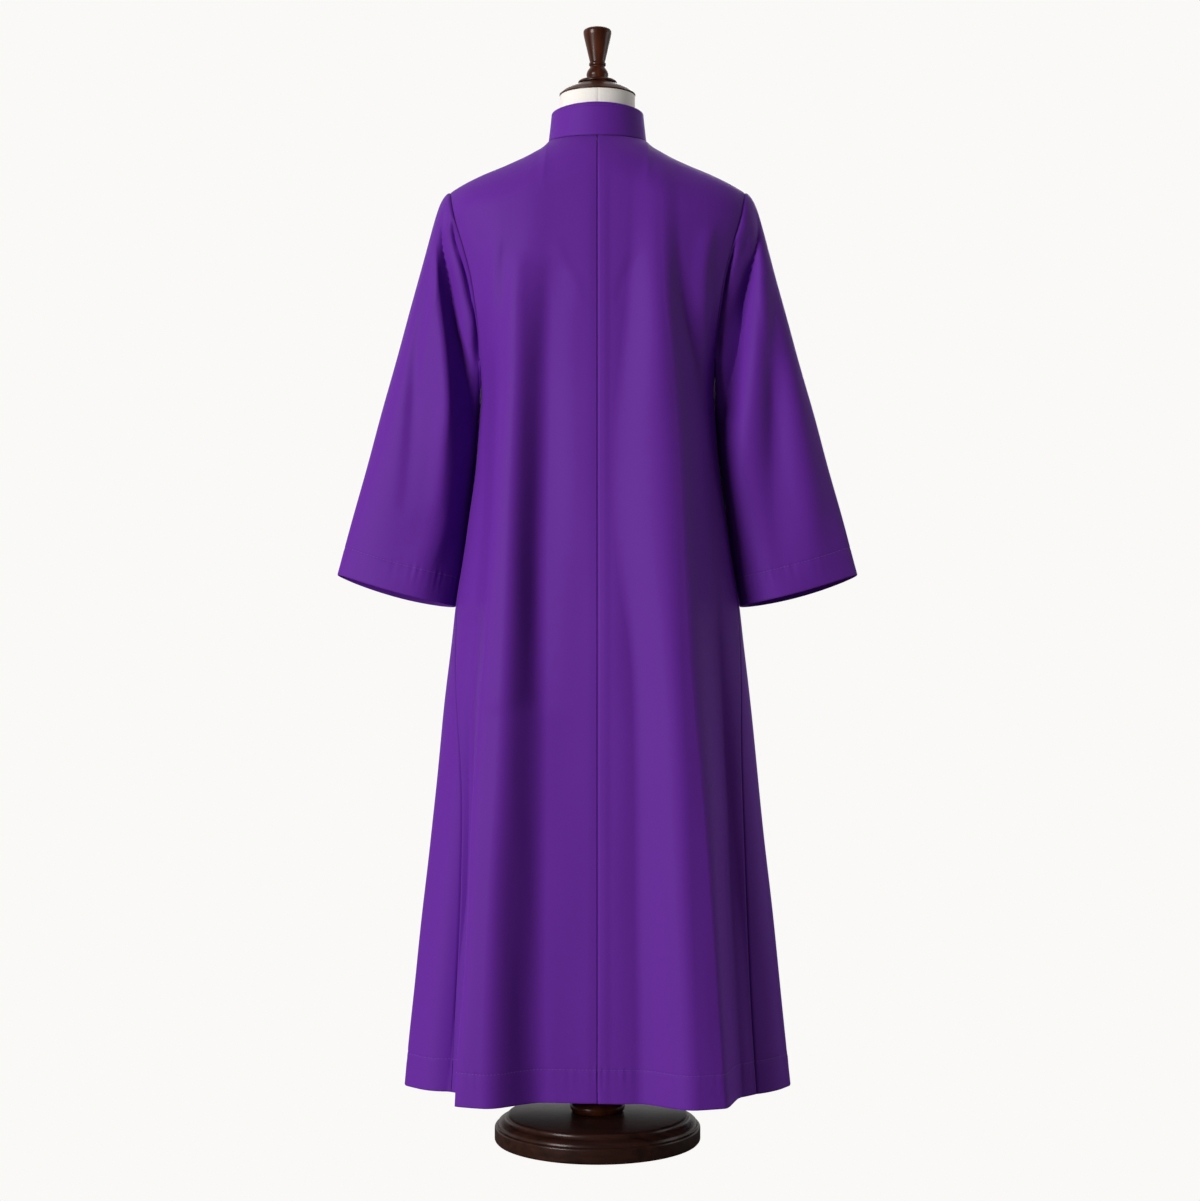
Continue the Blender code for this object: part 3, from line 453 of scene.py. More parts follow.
class Panel:
    """One quarter of the garment's body: a back or a front panel."""

    def __init__(self, side, is_back):
        self.side, self.is_back = side, is_back
        self.cut = BACK if is_back else FRONT
        self.columns = self.cut["stations"][-1]
        self.folds = FOLDS[side if is_back else -side]

    def edge_angle(self, height):
        """The outer edge: the armhole, and below it the side seam."""
        arm_reach = ARMHOLE.at("back" if self.is_back else "front", height)
        arm = np.arcsin(np.clip(arm_reach / BODY.at("half_width", height), 0, 1))
        seam = np.arcsin(np.clip(SIDE_SEAM.at("share", height), 0, 1))
        return np.where(height >= UNDERARM_HEIGHT, arm, seam if self.is_back else math.pi - seam)

    def low_angle(self, column, height):
        """The angle of a column below the shoulders, where columns follow the folds."""
        rise, fall = (self.folds.at(name, height) for name in ("rise", "fall"))
        half_rise = self.folds.at("rise_width", height) / 2
        half_fall = self.folds.at("fall_width", height) / 2
        starts = self.cut["starts"]
        reaches = [*starts, rise - half_rise, rise, rise + half_rise]
        reaches += [fall - half_fall, fall + half_fall]
        edge, width = self.edge_angle(height), BODY.at("half_width", height)
        angles = [np.arcsin(r / width) + 0 * column for r in reaches]
        last = np.arcsin(np.clip(reaches[-1] / width, -1, 1))
        angles[-1] = np.minimum(last, edge - EDGE_ANGLE)
        for i in range(len(starts), len(angles) - 1):
            angles[i] = np.minimum(angles[i], angles[-1] - COLUMN_ANGLE * (len(angles) - 1 - i))
        angles = np.array([*angles, edge + 0 * column])
        stations = np.array(self.cut["stations"])
        i = np.clip(np.searchsorted(stations, column, side="right") - 1, 0, len(stations) - 2)
        t = (column - stations[i]) / (stations[i + 1] - stations[i])
        low, high = (np.take_along_axis(angles, i[None] + k, 0)[0] for k in (0, 1))
        return low * (1 - t) + high * t

    def top_edge(self, column):
        """Reach, depth and height of the neckline and then the shoulder seam."""
        cut, corner = self.cut, self.cut["neck_columns"][-1]
        angles = [*np.degrees(np.arcsin(np.array(cut["starts"]) / NECK_REACH)), cut["neck_turn"], 90]
        angle = np.radians(np.interp(column, cut["neck_columns"], angles))
        along = np.clip((column - corner) / (self.columns - corner), 0, 1)
        on_neck = column <= corner
        shoulder = NECK_REACH + along * (SHOULDER_REACH - NECK_REACH)
        reach = np.where(on_neck, NECK_REACH * np.sin(angle), shoulder)
        depth = np.where(on_neck, cut["neck_depth"] * np.cos(angle), 0)
        neck_height = NECK_HEIGHT - cut["neck_drop"] * np.cos(angle) ** 2
        height = np.where(on_neck, neck_height, RIDGE.at("height", shoulder))
        return reach, depth, height, cut["neck_round"] + along * (SHOULDER_ROUND - cut["neck_round"])

    def point(self, column, row):
        """A point of the outer face."""
        column, row = np.broadcast_arrays(np.asarray(column, float), np.asarray(row, float))
        reach, depth, top, radius = self.top_edge(column)
        top_angle = np.arcsin(reach / BODY.at("half_width", top))
        full = body_depth(self.side, top_angle if self.is_back else math.pi - top_angle, top)
        start = np.arcsin(np.clip(depth / full, 0, 1)) + SEAM_GAP / 2 / full
        turn = start + (math.pi / 2 - start) * np.clip(row / TOP_ROWS, 0, 1)
        level = np.interp(row - TOP_ROWS, np.arange(len(LEVELS)), LEVELS)
        lift_share = np.clip((level - LIFT_ENDS) / (FULL_HEIGHT - LIFT_ENDS), 0, 1) ** 1.5
        lift = (top - radius * np.cos(start) - FULL_HEIGHT) * lift_share
        height = np.where(row <= TOP_ROWS, top - radius * (np.cos(start) - np.cos(turn)), level + lift)

        edge = self.edge_angle(height)
        top_share = top_angle / self.edge_angle(top)
        low_share = self.low_angle(column, height) / edge
        spread = ease((top - height) / SPREAD_DROP)
        share = top_share * (1 - spread) + low_share * spread
        width = BODY.at("half_width", height)
        speed = np.hypot(width * np.cos(edge), BODY.at("back_depth", height) * np.sin(edge))
        first = SEAM_GAP / 2 / width if self.is_back else 0
        own = first + share * (edge - SEAM_GAP / 2 / speed - first)
        angle = own if self.is_back else math.pi - own
        y = body_depth(self.side, angle, height) * np.sin(turn) * -np.sign(np.cos(angle))
        return np.stack([self.side * width * np.sin(own), y, height], -1)

    def normal(self, column, row, step=1e-3):
        """The outward direction, from nearby points of the outer face."""
        columns = np.clip([column - step, column + step], 0, self.columns)
        rows = np.clip([row - step, row + step], 0, BODY_ROWS)
        across = self.point(columns[1], row) - self.point(columns[0], row)
        down = self.point(column, rows[1]) - self.point(column, rows[0])
        normal = np.cross(across, down) * self.side * (-1 if self.is_back else 1)
        if self.is_back:
            normal[..., 0] = np.where(column == 0, 0, normal[..., 0])
        return normal / np.linalg.norm(normal, axis=-1, keepdims=True)

    def dip(self, reach):
        """The wearer's right front dips under the left one near the closing."""
        if self.is_back or self.side == LEFT:
            return 0 * reach
        return LAP_SINK * ease((DIP_STARTS - reach) / (DIP_STARTS - DIP_ENDS))


class Sleeve:
    """A tube from the armhole to the cuff, counted round from the shoulder by way of the back."""

    def __init__(self, side):
        self.side = side
        self.panels = Panel(side, True), Panel(side, False)

    def armhole(self, around, stand=SLEEVE_STAND):
        """The armhole's edge, lifted clear of the body panels."""
        around = np.mod(around, SLEEVE_SIDES)
        on_back = around <= ARM_ROWS
        row = np.where(on_back, around, SLEEVE_SIDES - around)
        edges = [panel.columns + 0.0 * row for panel in self.panels]
        ends = [p.point(edge, row) + stand * p.normal(edge, row) for p, edge in zip(self.panels, edges)]
        return np.where(on_back[..., None], *ends)

    def cuff(self, around):
        turn = math.pi * around / ARM_ROWS
        (outer_x, outer_z), (inner_x, inner_z) = CUFF_OUTER, CUFF_INNER
        across, towards_back = (1 + np.cos(turn)) / 2, np.sin(turn)
        x = self.side * (inner_x + (outer_x - inner_x) * across)
        sag = CUFF_SAG * towards_back**2 - CUFF_FRONT_DROP * towards_back
        z = inner_z + (outer_z - inner_z) * across - sag
        return np.stack([x, -CUFF_DEPTH * towards_back * (1 - INNER_FULLNESS * np.cos(turn)), z], -1)

    def point(self, around, along):
        """along runs from 0 at the armhole to 1 at the stitching and 2 at the cuff's edge."""
        around, along = np.broadcast_arrays(np.asarray(around, float), np.asarray(along, float))
        start, end = self.armhole(around), self.cuff(around)
        length = np.linalg.norm(end - start, axis=-1)
        band = CUFF_BAND / length
        t = np.where(along <= 1, along * (1 - band), 1 - (2 - along) * band)
        points = start + t[..., None] * (end - start)
        inner = ((1 - np.cos(math.pi * around / ARM_ROWS)) / 2) ** 2
        points[..., 0] -= self.side * INNER_LINE.at("inwards", t) * inner
        points[..., 1] += INNER_LINE.at("forwards", t) * inner
        near_top = np.cos(math.pi / 2 * np.minimum(around, SLEEVE_SIDES - around) / ARM_ROWS) ** 2
        swell = CAP_SWELL * near_top * (1 - np.exp(-t * length / CAP_LENGTH)) * (1 - t)
        points = points + swell[..., None] * np.array(CAP_DIRECTION) * [self.side, 1, 1]
        hollow, fold = SLEEVE_HOLLOW[self.side], SLEEVE_FOLD[self.side]
        height, reach = points[..., 2], np.abs(points[..., 0])
        off = reach - hollow.at("reach", height)
        on_back = np.sin(math.pi * around / ARM_ROWS).clip(0, 1)
        fading = ease((height - 0.98) / 0.1) * ease(t * length / 0.03)
        points[..., 1] += hollow.at("depth", height) * bell(off, SLEEVE_HOLLOW_WIDTH) * on_back * fading
        off = reach - fold.at("reach", height)
        width = np.where(off < 0, *SLEEVE_FOLD_WIDTHS)
        points[..., 1] -= fold.at("stand", height) * bell(off, width) * on_back
        return points


# Grids.


def finely(stations, pieces):
    """Each gap of a list of stations cut into equal pieces."""
    cuts = [np.arange(n) / n * (b - a) + a for a, b, n in zip(stations, stations[1:], pieces)]
    return np.concatenate([*cuts, [stations[-1]]])


def with_edges(values, *places):
    """Adds stations close to the places given as (place, step), for sharp detail there."""
    near = [place + step * k for place, step in places for k in (-5, -3, -2, -1, 0, 1, 2, 3, 5)]
    inside = [v for v in near if values[0] <= v <= values[-1]]
    return np.unique(np.round(np.concatenate([values, inside]), 5))


def lengths(points, axis):
    """How far along the cloth each point of a grid lies."""
    steps = np.linalg.norm(np.diff(points, axis=axis), axis=-1)
    total = np.cumsum(steps, axis=axis)
    zero = np.zeros_like(np.take(total, [0], axis=axis))
    return np.concatenate([zero, total], axis=axis)


def normals_of(points, centre, is_tube=False):
    """Outward directions of a grid of points; centre is a point or points inside it."""
    grid = np.concatenate([points[-2:], points, points[:2]]) if is_tube else points
    found = np.cross(np.gradient(grid, axis=0), np.gradient(grid, axis=1))
    found = found[2:-2] if is_tube else found
    found /= np.linalg.norm(found, axis=-1, keepdims=True) + 1e-12
    return found * np.sign(np.sum(found * (points - centre), -1).mean())


def quads(index, places):
    """Faces of a grid of vertex numbers, and the cloth coordinates of their corners."""
    near, far = slice(None, -1), slice(1, None)
    corners = ((near, near), (far, near), (far, far), (near, far))
    faces = np.stack([index[c] for c in corners], -1).reshape(-1, 4)
    return faces, np.stack([places[c] for c in corners], -2).reshape(-1, 4, 2)


def linked(name, data):
    """A new object in the scene."""
    made = bpy.data.objects.new(name, data)
    bpy.context.scene.collection.objects.link(made)
    return made


def shell(name, outer, inner, places, seam, material, is_tube=False):
    """A closed thin shell between two grids of points, with its cloth coordinates."""
    columns, rows = outer.shape[:2]
    count = columns * rows
    index = np.arange(count).reshape(columns, rows)
    if is_tube:
        index = np.concatenate([index, index[:1]])
    strips = [quads(index, places), quads(index + count, places)]
    for edge in (0, -1):
        borders = [(index[:, edge], places[:, edge])]
        if not is_tube:
            borders.append((index[edge], places[edge]))
        for line, place in borders:
            strips.append(quads(np.stack([line, line + count], 1), np.stack([place] * 2, 1)))
    mesh = bpy.data.meshes.new(name)
    points = np.concatenate([outer.reshape(-1, 3), inner.reshape(-1, 3)])
    mesh.from_pydata(points.tolist(), [], np.concatenate([s[0] for s in strips]).tolist())
    mesh.uv_layers.new(name="cloth")
    uv = np.concatenate([s[1] for s in strips]).reshape(-1)
    mesh.uv_layers["cloth"].data.foreach_set("uv", uv.astype(np.float32))
    # The seam attribute holds painted shade along the seams and stitching; the cloth darkens its colour
    # by it.
    painted_shade = mesh.attributes.new("seam", "FLOAT", "POINT")
    seam = np.concatenate([seam.reshape(-1), 0 * seam.reshape(-1)])
    painted_shade.data.foreach_set("value", seam.astype(np.float32))
    return finished(name, mesh, material)


def finished(name, mesh, material, sharp=40):
    """Turns every face outwards, smooths the shading and makes the object."""
    shape = bmesh.new()
    shape.from_mesh(mesh)
    bmesh.ops.recalc_face_normals(shape, faces=shape.faces)
    shape.to_mesh(mesh)
    shape.free()
    mesh.shade_smooth()
    mesh.set_sharp_from_angle(angle=math.radians(sharp))
    mesh.materials.append(material)
    return linked(name, mesh)


# Cloth pieces.


def bell(distance, width):
    """1 at a line, falling to nothing on both sides of it."""
    return np.exp(-((distance / width) ** 2))


def turn_in(distance, depth, width):
    """The cloth rolls inwards where it is sewn."""
    return -depth * bell(distance, width)


def painted_seam_shade(distance, strength, width):
    """A line of painted shade along a seam or a line of stitching."""
    return strength * bell(distance, width)


def waviness(points, size):
    """Small soft unevenness of hanging cloth, longer down than across."""
    x, y, z = points[..., 0], points[..., 1], points[..., 2]
    total = 0
    for k, (across, down, phase) in enumerate(WAVES):
        total = total + np.sin(across * x + 0.7 * across * y + phase) * np.sin(down * z + 2.3 * k)
    return size * total / 2.5


def pucker(distance_along, below_stitching, band):
    """Short ripples where a hem's stitching draws the cloth."""
    wave = np.sin(distance_along * 2 * math.pi / PUCKER_PITCH + 3.4 * np.sin(distance_along * 41))
    wave = wave * (0.55 + 0.45 * np.sin(distance_along * 173 + 1.1))
    gather = (np.sin(distance_along * 23 + 2.0) * np.sin(distance_along * 8.3 + 0.5)).clip(0, 1) + 0.25
    fade_below, fade_above = bell(below_stitching, 0.45 * band), bell(below_stitching, PUCKER_ABOVE)
    return wave * gather * np.where(below_stitching > 0, fade_below, fade_above)


def line_on(outer, out, distance, at):
    """The points of a face, and its outward directions, at one distance down it."""
    ends = []
    for grid in (outer, out):
        ends.append([[np.interp(at, d, g[:, k]) for k in range(3)] for d, g in zip(distance, grid)])
    return np.array(ends[0]), np.array(ends[1])


def hem_shape(to_hem, below):
    """The sunk line of stitching, the rounded edge, and the wall with its turned-up band."""
    wall = np.where(below > 0, CLOTH + BAND_CLOTH * ease(below / 0.002), CLOTH)
    return turn_in(below, *STITCH_GROOVE), turn_in(to_hem, *EDGE_ROLL), wall


def beside_edge(grid, to_edge, places):
    """A panel's grid, read at a few distances from its outer edge."""
    rows = range(grid.shape[1])
    found = [[np.interp(-places, -to_edge[:, j], grid[:, j, k]) for k in range(3)] for j in rows]
    return np.array(found).transpose(2, 0, 1)


def make_allowances(side, edges, material):
    """The seam allowances, pressed flat inside the side seam and turned into the sleeve.

    edges: for the back and then the front panel, (inner face, outward directions, to_edge).
    """
    places = np.linspace(SEAM_ALLOWANCE, 0, 5)
    layers = []
    for depth in ALLOWANCE_FACES:
        layers.append([beside_edge(inner - depth * out, gap, places) for inner, out, gap in edges])
    below = layers[0][0][-1, :, 2] < UNDERARM_HEIGHT + 0.001
    pieces = [("side", *(np.concatenate([back, front[::-1]])[:, below] for back, front in layers))]
    for k, word in enumerate(("back", "front")):
        above = layers[0][k][-1, :, 2] > UNDERARM_HEIGHT - 0.001
        turned_in = []
        for layer in layers:
            edge = layer[k][-3:, above]
            onwards = edge[-1] - edge[-2]
            onwards /= np.linalg.norm(onwards, axis=-1, keepdims=True)
            turned_in.append(np.concatenate([edge, [edge[-1] + onwards * s for s in ALLOWANCE_STEPS]]))
        pieces.append((word, *turned_in))
    made = []
    for word, outer, inner in pieces:
        flat = np.stack([lengths(outer, 0), lengths(outer, 1)], -1)
        name = f"allowance_{word}_{SIDES[side]}"
        made.append(shell(name, outer, inner, flat, 0 * flat[..., 0], material))
    return made


def make_panel(side, is_back, material):
    panel = Panel(side, is_back)
    columns = finely(range(panel.columns + 1), [COLUMN_PIECES] * panel.columns)
    columns = with_edges(columns, (0, 0.016), (panel.columns, 0.016))
    steps = [TOP_PIECES] * TOP_ROWS
    steps += [max(4, round((high - low) / ROW_SPACING)) for high, low in zip(LEVELS, LEVELS[1:])]
    rows = finely(range(BODY_ROWS + 1), steps)
    rows = with_edges(rows, (0, 0.03), (BODY_ROWS - 1, 0.02), (BODY_ROWS, 0.012))
    column, row = np.meshgrid(columns, rows, indexing="ij")
    base = panel.point(column, row)
    out = panel.normal(column, row)

    across, down = lengths(base, 0), lengths(base, 1)
    to_hem = down[:, -1:] - down
    to_edge = across[-1:] - across
    reach, height = base[..., 0] * side, base[..., 2]
    creases = (BACK_CREASES if is_back else FRONT_CREASES)[side]
    lift = sum(c.at(reach, height) for c in creases) * ease(-base[..., 1] / FACE_FADE)
    if not is_back:
        creased = sum(c.at(reach, height) for c in BACK_CREASES[-side][2:])
        fading = ease(base[..., 1] / FACE_FADE) * ease((height - FRONT_FOLDS_START) / 0.30)
        lift += FRONT_FOLD_SHARE * creased * fading
    lift += waviness(base, PANEL_WAVES) * ease(to_edge / 0.02) * ease(down / 0.02)
    lift -= panel.dip(reach)
    below = HEM_BAND - to_hem
    lift += HEM_PUCKER * pucker(across, below, HEM_BAND) * ease(to_edge / 0.01)

    at_edge = [turn_in(to_edge, *roll) for roll in (ARM_ROLL, SIDE_ROLL)]
    seam = np.where(height > UNDERARM_HEIGHT, *at_edge) + turn_in(down, *TOP_ROLL)
    if is_back:
        seam += turn_in(across, *CENTRE_ROLL)
        lip = CENTRE_LIP * ease(across / 0.0020) * (1 - ease((across - 0.008) / 0.012))
        lift += (lip if side == RIGHT else turn_in(across, *CENTRE_HOLLOW)) * ease(down / 0.12)
    groove, round_edge, wall = hem_shape(to_hem, below)
    if not is_back:
        round_edge = round_edge + turn_in(across, *LAP_ROLL)
    outer = base + (lift + seam + groove + round_edge)[..., None] * out
    inner = base + (lift - wall - 0.2 * round_edge)[..., None] * out
    # Painted shade along the side, shoulder, centre and hem lines; on the wearer's left the side seam's
    # painted shade fades low down, where the fold's own shadow falls.
    hidden = ease((SEAM_HIDES - height) / 0.15) if side == LEFT else 0
    painted_shades = [painted_seam_shade(to_edge, *SIDE_SEAM_SHADE) * (1 - 0.8 * hidden), painted_seam_shade(down, *TOP_SEAM_SHADE)]
    painted_shades += [painted_seam_shade(across, *CENTRE_SEAM_SHADE)] if is_back else []
    painted_shades.append(painted_seam_shade(below, *HEM_SHADE))
    places = np.stack([across * side, -down], -1)
    word = ("back_" if is_back else "front_") + SIDES[side]
    piece = shell("cloth_" + word, outer, inner, places, np.max(painted_shades, 0), material)
    return piece, line_on(outer, out, below, 0), (inner, out, to_edge)


def make_sleeve(side, material):
    sleeve = Sleeve(side)
    near_folds = range(3, ARM_ROWS + 1)
    each = [12 if k in near_folds else COLUMN_PIECES for k in range(SLEEVE_SIDES)]
    around = finely(range(SLEEVE_SIDES + 1), each)[:-1]
    along = finely((0, 0.02, 0.05, 0.10, 0.3, 0.6, 1.0, 2.0), (4, 3, 5, 20, 28, 36, 9))
    along = with_edges(along, (0, 0.0016), (2, 0.014))
    along = with_edges(along, (1.0, 0.0022))
    ring, down = np.meshgrid(around, along, indexing="ij")
    base = sleeve.point(ring, down)
    middle = base.mean(0, keepdims=True)
    out = normals_of(base, middle, is_tube=True)

    closed = np.concatenate([base, base[:1]])
    across, length = lengths(closed, 0), lengths(base, 1)
    to_hem = length[:, -1:] - length
    reach, height = base[..., 0] * side, base[..., 2]
    for whose, way, share in ((side, -1, 1), (-side, 1, SLEEVE_FRONT_SHARE)):
        creased = sum((c.at(reach, height) for c in SLEEVE_CREASES[whose]), 0 * reach)
        base[..., 1] += way * share * creased * ease(way * out[..., 1] / 0.35) * ease(length / 0.004)
    tucked = np.exp(-(((ring - ARM_ROWS - 1.4) / 1.1) ** 2) - ((height - 1.075) / 0.034) ** 2)
    base[..., 0] -= side * UNDERARM_TUCK[side] * tucked * ease(length / 0.01)
    sunk = sleeve.armhole(ring, ARMHOLE_SEAM_STAND) - sleeve.armhole(ring)
    base += sunk * bell(length, 0.0022)[..., None]
    out = normals_of(base, middle, is_tube=True)
    beside_body = bell(ring - ARM_ROWS, 2.5)
    lift = (waviness(base, SLEEVE_WAVES) - INNER_CLEARANCE * beside_body) * ease(length / 0.02)
    below = CUFF_BAND - to_hem
    lift = lift + CUFF_PUCKER * pucker(across[:-1] + 0.3 * side, below, CUFF_BAND)
    seam = turn_in(length, *SLEEVE_ROLL)
    groove, round_edge, wall = hem_shape(to_hem, below)
    outer = base + (lift + seam + groove + round_edge)[..., None] * out
    inner = base + (lift + 0.6 * seam - wall - 0.2 * round_edge)[..., None] * out
    # Painted shade along the armhole seam and the cuff's stitching.
    painted_shade = np.maximum(painted_seam_shade(length, *ARM_SEAM_SHADE), painted_seam_shade(below, *HEM_SHADE))
    places = np.stack([across * side, -np.concatenate([length, length[:1]])], -1)
    piece = shell("cloth_sleeve_" + SIDES[side], outer, inner, places, painted_shade, material, is_tube=True)
    return piece, line_on(outer, out, below, 0)


def make_collar(material):
    """The band collar stands on the neckline; its ends meet at the centre front."""
    turn = np.radians(np.linspace(-180, 180, 241)[1:-1])
    ends = math.pi - np.array([0.004, 0.012])
    turn = np.concatenate([-ends, turn, ends[::-1]])
    up = with_edges(np.linspace(0, 1, 14), (0, 0.012), (1, 0.012))
    turn, up = np.meshgrid(turn, up, indexing="ij")
    behind = np.cos(turn) > 0
    neck_depth = np.where(behind, BACK["neck_depth"], FRONT["neck_depth"])
    drop = np.where(behind, BACK["neck_drop"], FRONT["neck_drop"])
    low_z = NECK_HEIGHT - drop * np.cos(turn) ** 2 + SEAM_GAP
    high_z = COLLAR_SIDE_HEIGHT + np.where(behind, *COLLAR_TOP_RISE) * np.cos(turn) ** 2
    top_depth = np.where(behind, *COLLAR_TOP_DEPTH)
    lean = up + COLLAR_CURVE * up * (1 - up)
    x = (NECK_REACH * (1 - lean) + COLLAR_TOP_REACH * lean) * np.sin(turn)
    y = -(neck_depth * (1 - lean) + top_depth * lean) * np.cos(turn)
    z = low_z + (high_z - low_z) * up
    base = np.stack([x, y, z], -1)
    out = normals_of(base, np.array([0, 0, NECK_HEIGHT]))
    across, height = lengths(base, 0), lengths(base, 1)
    to_top = height[:, -1:] - height
    edge = np.minimum(to_top, np.minimum(across, across[-1:] - across))
    from_stitches = edge - COLLAR_STITCH_DROP
    rolls = [turn_in(d, *roll) for d, roll in zip((edge, height, from_stitches), COLLAR_ROLLS)]
    outer = base + (rolls[0] + rolls[1] + rolls[2])[..., None] * out
    inner = base + (-COLLAR_CLOTH - turn_in(edge, *INNER_COLLAR_ROLL))[..., None] * out
    # Painted shade along the collar's seam and its stitching.
    painted_shades = [painted_seam_shade(d, *painted_shade) for d, painted_shade in zip((height, from_stitches), COLLAR_SHADES)]
    places = np.stack([across, height], -1)
    piece = shell("cloth_collar", outer, inner, places, np.max(painted_shades, 0), material)
    return piece, line_on(outer, out, -to_top, -COLLAR_STITCH_DROP)


# Stitching.


def stitching_tree():
    """Short threads set end to end along every path, lying on the cloth."""
    tree = bpy.data.node_groups.new("stitching", "GeometryNodeTree")
    sizes = [(name, "Float") for name in STITCH_SIZES]
    for name, kind in (("Geometry", "Geometry"), *sizes, ("Thread", "Material")):
        tree.interface.new_socket(name, in_out="INPUT", socket_type="NodeSocket" + kind)
    tree.interface.new_socket("Geometry", in_out="OUTPUT", socket_type="NodeSocketGeometry")
    n = Nodes(tree)
    given = n.add("NodeGroupInput").outputs
    paths = n.out("GeometryNodeMeshToCurve", {"Mesh": given["Geometry"]})
    named = {"Name": "outwards"}
    outwards = n.out("GeometryNodeInputNamedAttribute", named, data_type="FLOAT_VECTOR")
    spacing = {"Curve": paths, "Length": given["Pitch"]}
    spaced = n.out("GeometryNodeResampleCurve", spacing, mode="LENGTH")
    along = n.out("GeometryNodeInputTangent")
    facing = n.out("FunctionNodeAlignEulerToVector", {"Vector": along}, axis="X")
    turned_up = {"Rotation": facing, "Vector": outwards}
    level = n.out("FunctionNodeAlignEulerToVector", turned_up, axis="Z", pivot_axis="X")
    wander = n.out("FunctionNodeRandomValue", {2: 0.85, 3: 1.1, "Seed": 7}, 1, data_type="FLOAT")
    unit = n.out("GeometryNodeMeshIcoSphere", {"Radius": 0.5, "Subdivisions": 1})
    long = n.times(given["Length"], wander)
    size = n.out("ShaderNodeCombineXYZ", {"X": long, "Y": given["Width"], "Z": given["Width"]})
    threads = {"Points": spaced, "Instance": unit, "Rotation": level, "Scale": size}
    set_down = n.out("GeometryNodeInstanceOnPoints", threads)
    real = n.out("GeometryNodeRealizeInstances", {"Geometry": set_down})
    smooth = n.out("GeometryNodeSetShadeSmooth", {"Geometry": real})
    done = n.out("GeometryNodeSetMaterial", {"Geometry": smooth, "Material": given["Thread"]})
    n.add("NodeGroupOutput", {"Geometry": done})
    return tree


def make_stitching(name, lines, sizes, thread):
    """lines: (points, outward directions, whether the path closes on itself)."""
    points, outwards, edges = [], [], []
    for line, out, closes in lines:
        first, count = len(points), len(line)
        points += line.tolist()
        outwards += out.tolist()
        edges += [(first + k, first + (k + 1) % count) for k in range(count - 1 + closes)]
    mesh = bpy.data.meshes.new(name + "_paths")
    mesh.from_pydata(points, edges, [])
    attribute = mesh.attributes.new("outwards", "FLOAT_VECTOR", "POINT")
    attribute.data.foreach_set("vector", np.array(outwards, np.float32).reshape(-1))
    paths = linked(name + "_paths", mesh)
    tree = stitching_tree()
    stitches = paths.modifiers.new("stitches", "NODES")
    stitches.node_group = tree
    sockets = {s.name: s.identifier for s in tree.interface.items_tree if s.in_out == "INPUT"}
    for word, value in zip((*STITCH_SIZES, "Thread"), (*sizes, thread)):
        stitches[sockets[word]] = value
    seen = paths.evaluated_get(bpy.context.evaluated_depsgraph_get())
    made = linked(name, bpy.data.meshes.new_from_object(seen))
    paths.modifiers.remove(stitches)
    bpy.data.objects.remove(paths)
    return made


# Turned pieces and the form.


def round_solid(name, grid, ends, material, sharp):
    """A closed solid round the axis: a grid of sides and rows, and the heights of its two ends."""
    sides, rows = grid.shape[:2]
    index = np.arange(sides * rows).reshape(sides, rows)
    index = np.concatenate([index, index[:1]])
    faces = quads(index, np.zeros((*index.shape, 2)))[0].tolist()
    for edge, pole in ((0, sides * rows), (rows - 1, sides * rows + 1)):
        faces += [(int(index[i, edge]), int(index[i + 1, edge]), pole) for i in range(sides)]
    points = np.concatenate([grid.reshape(-1, 3), [[0, 0, z] for z in ends]])
    mesh = bpy.data.meshes.new(name)
    mesh.from_pydata(points.tolist(), [], faces)
    return finished(name, mesh, material, sharp)


# Outlines of the turned pieces, from the top down: radius, height and rounding in millimetres.
CAP = (
    (0, 1540.4, 0), (27, 1540.4, 1.5), (31, 1537.8, 2), (40, 1534.5, 6), (50, 1529, 4),
    (54.5, 1524.8, 1), (55.5, 1524.3, 0.8), (55.5, 1522.9, 0.5), (0, 1522.9, 0),
)
FINIAL = (
    (0, 1621.5, 0), (15, 1621.1, 6), (20.7, 1618, 3), (20.6, 1612, 3), (11, 1571.2, 1), (12.4, 1570, 1),
    (12.4, 1566.8, 1), (11, 1565.6, 0.8), (10.8, 1564, 0.8), (14.6, 1559, 3), (16.5, 1553.5, 4),
    (14.8, 1547, 2), (15, 1545.6, 0.5), (26.2, 1544.8, 1), (28.5, 1542.8, 1), (28.5, 1540.8, 0.4),
    (0, 1540.8, 0),
)
BASE = (
    (0, 41.5, 0), (43, 41.5, 10), (90, 40.2, 20), (129, 38.1, 2), (131.8, 36.8, 1.2),
    (132.5, 33.8, 1.5), (134.5, 31.2, 2), (140, 30, 3), (145, 26.8, 3), (146.2, 22.6, 0.8),
    (149, 21.8, 1), (150, 19.8, 1), (150, 2.2, 1.5), (148, 0, 0.5), (0, 0, 0),
)
HUB = (
    (0, 70, 0), (16.5, 70, 1), (18, 64, 3), (24, 59.2, 3), (35, 56.8, 3), (40.2, 52, 3), (40, 46, 3),
    (37, 41.9, 0.6), (0, 41.9, 0),
)
POLE = ((0, 744.7, 0), (12.5, 744.7, 0.5), (12.5, 70.3, 0.5), (0, 70.3, 0))


def rounded(profile):
    """An outline of (radius, height, rounding) with its corners rounded by short arcs."""
    profile = np.array(profile) / MM
    points = profile[:, :2]
    out = [points[0]]
    for i in range(1, len(points) - 1):
        before, here, after = points[i - 1 : i + 2]
        a, b = before - here, after - here
        far, near = np.linalg.norm(a), np.linalg.norm(b)
        size = min(profile[i, 2], 0.48 * min(far, near))
        start, end = here + a / far * size, here + b / near * size
        for t in np.linspace(0, 1, 5) if size > 0 else (0,):
            out.append((1 - t) ** 2 * start + 2 * t * (1 - t) * here + t * t * end)
    return np.array([*out, points[-1]])


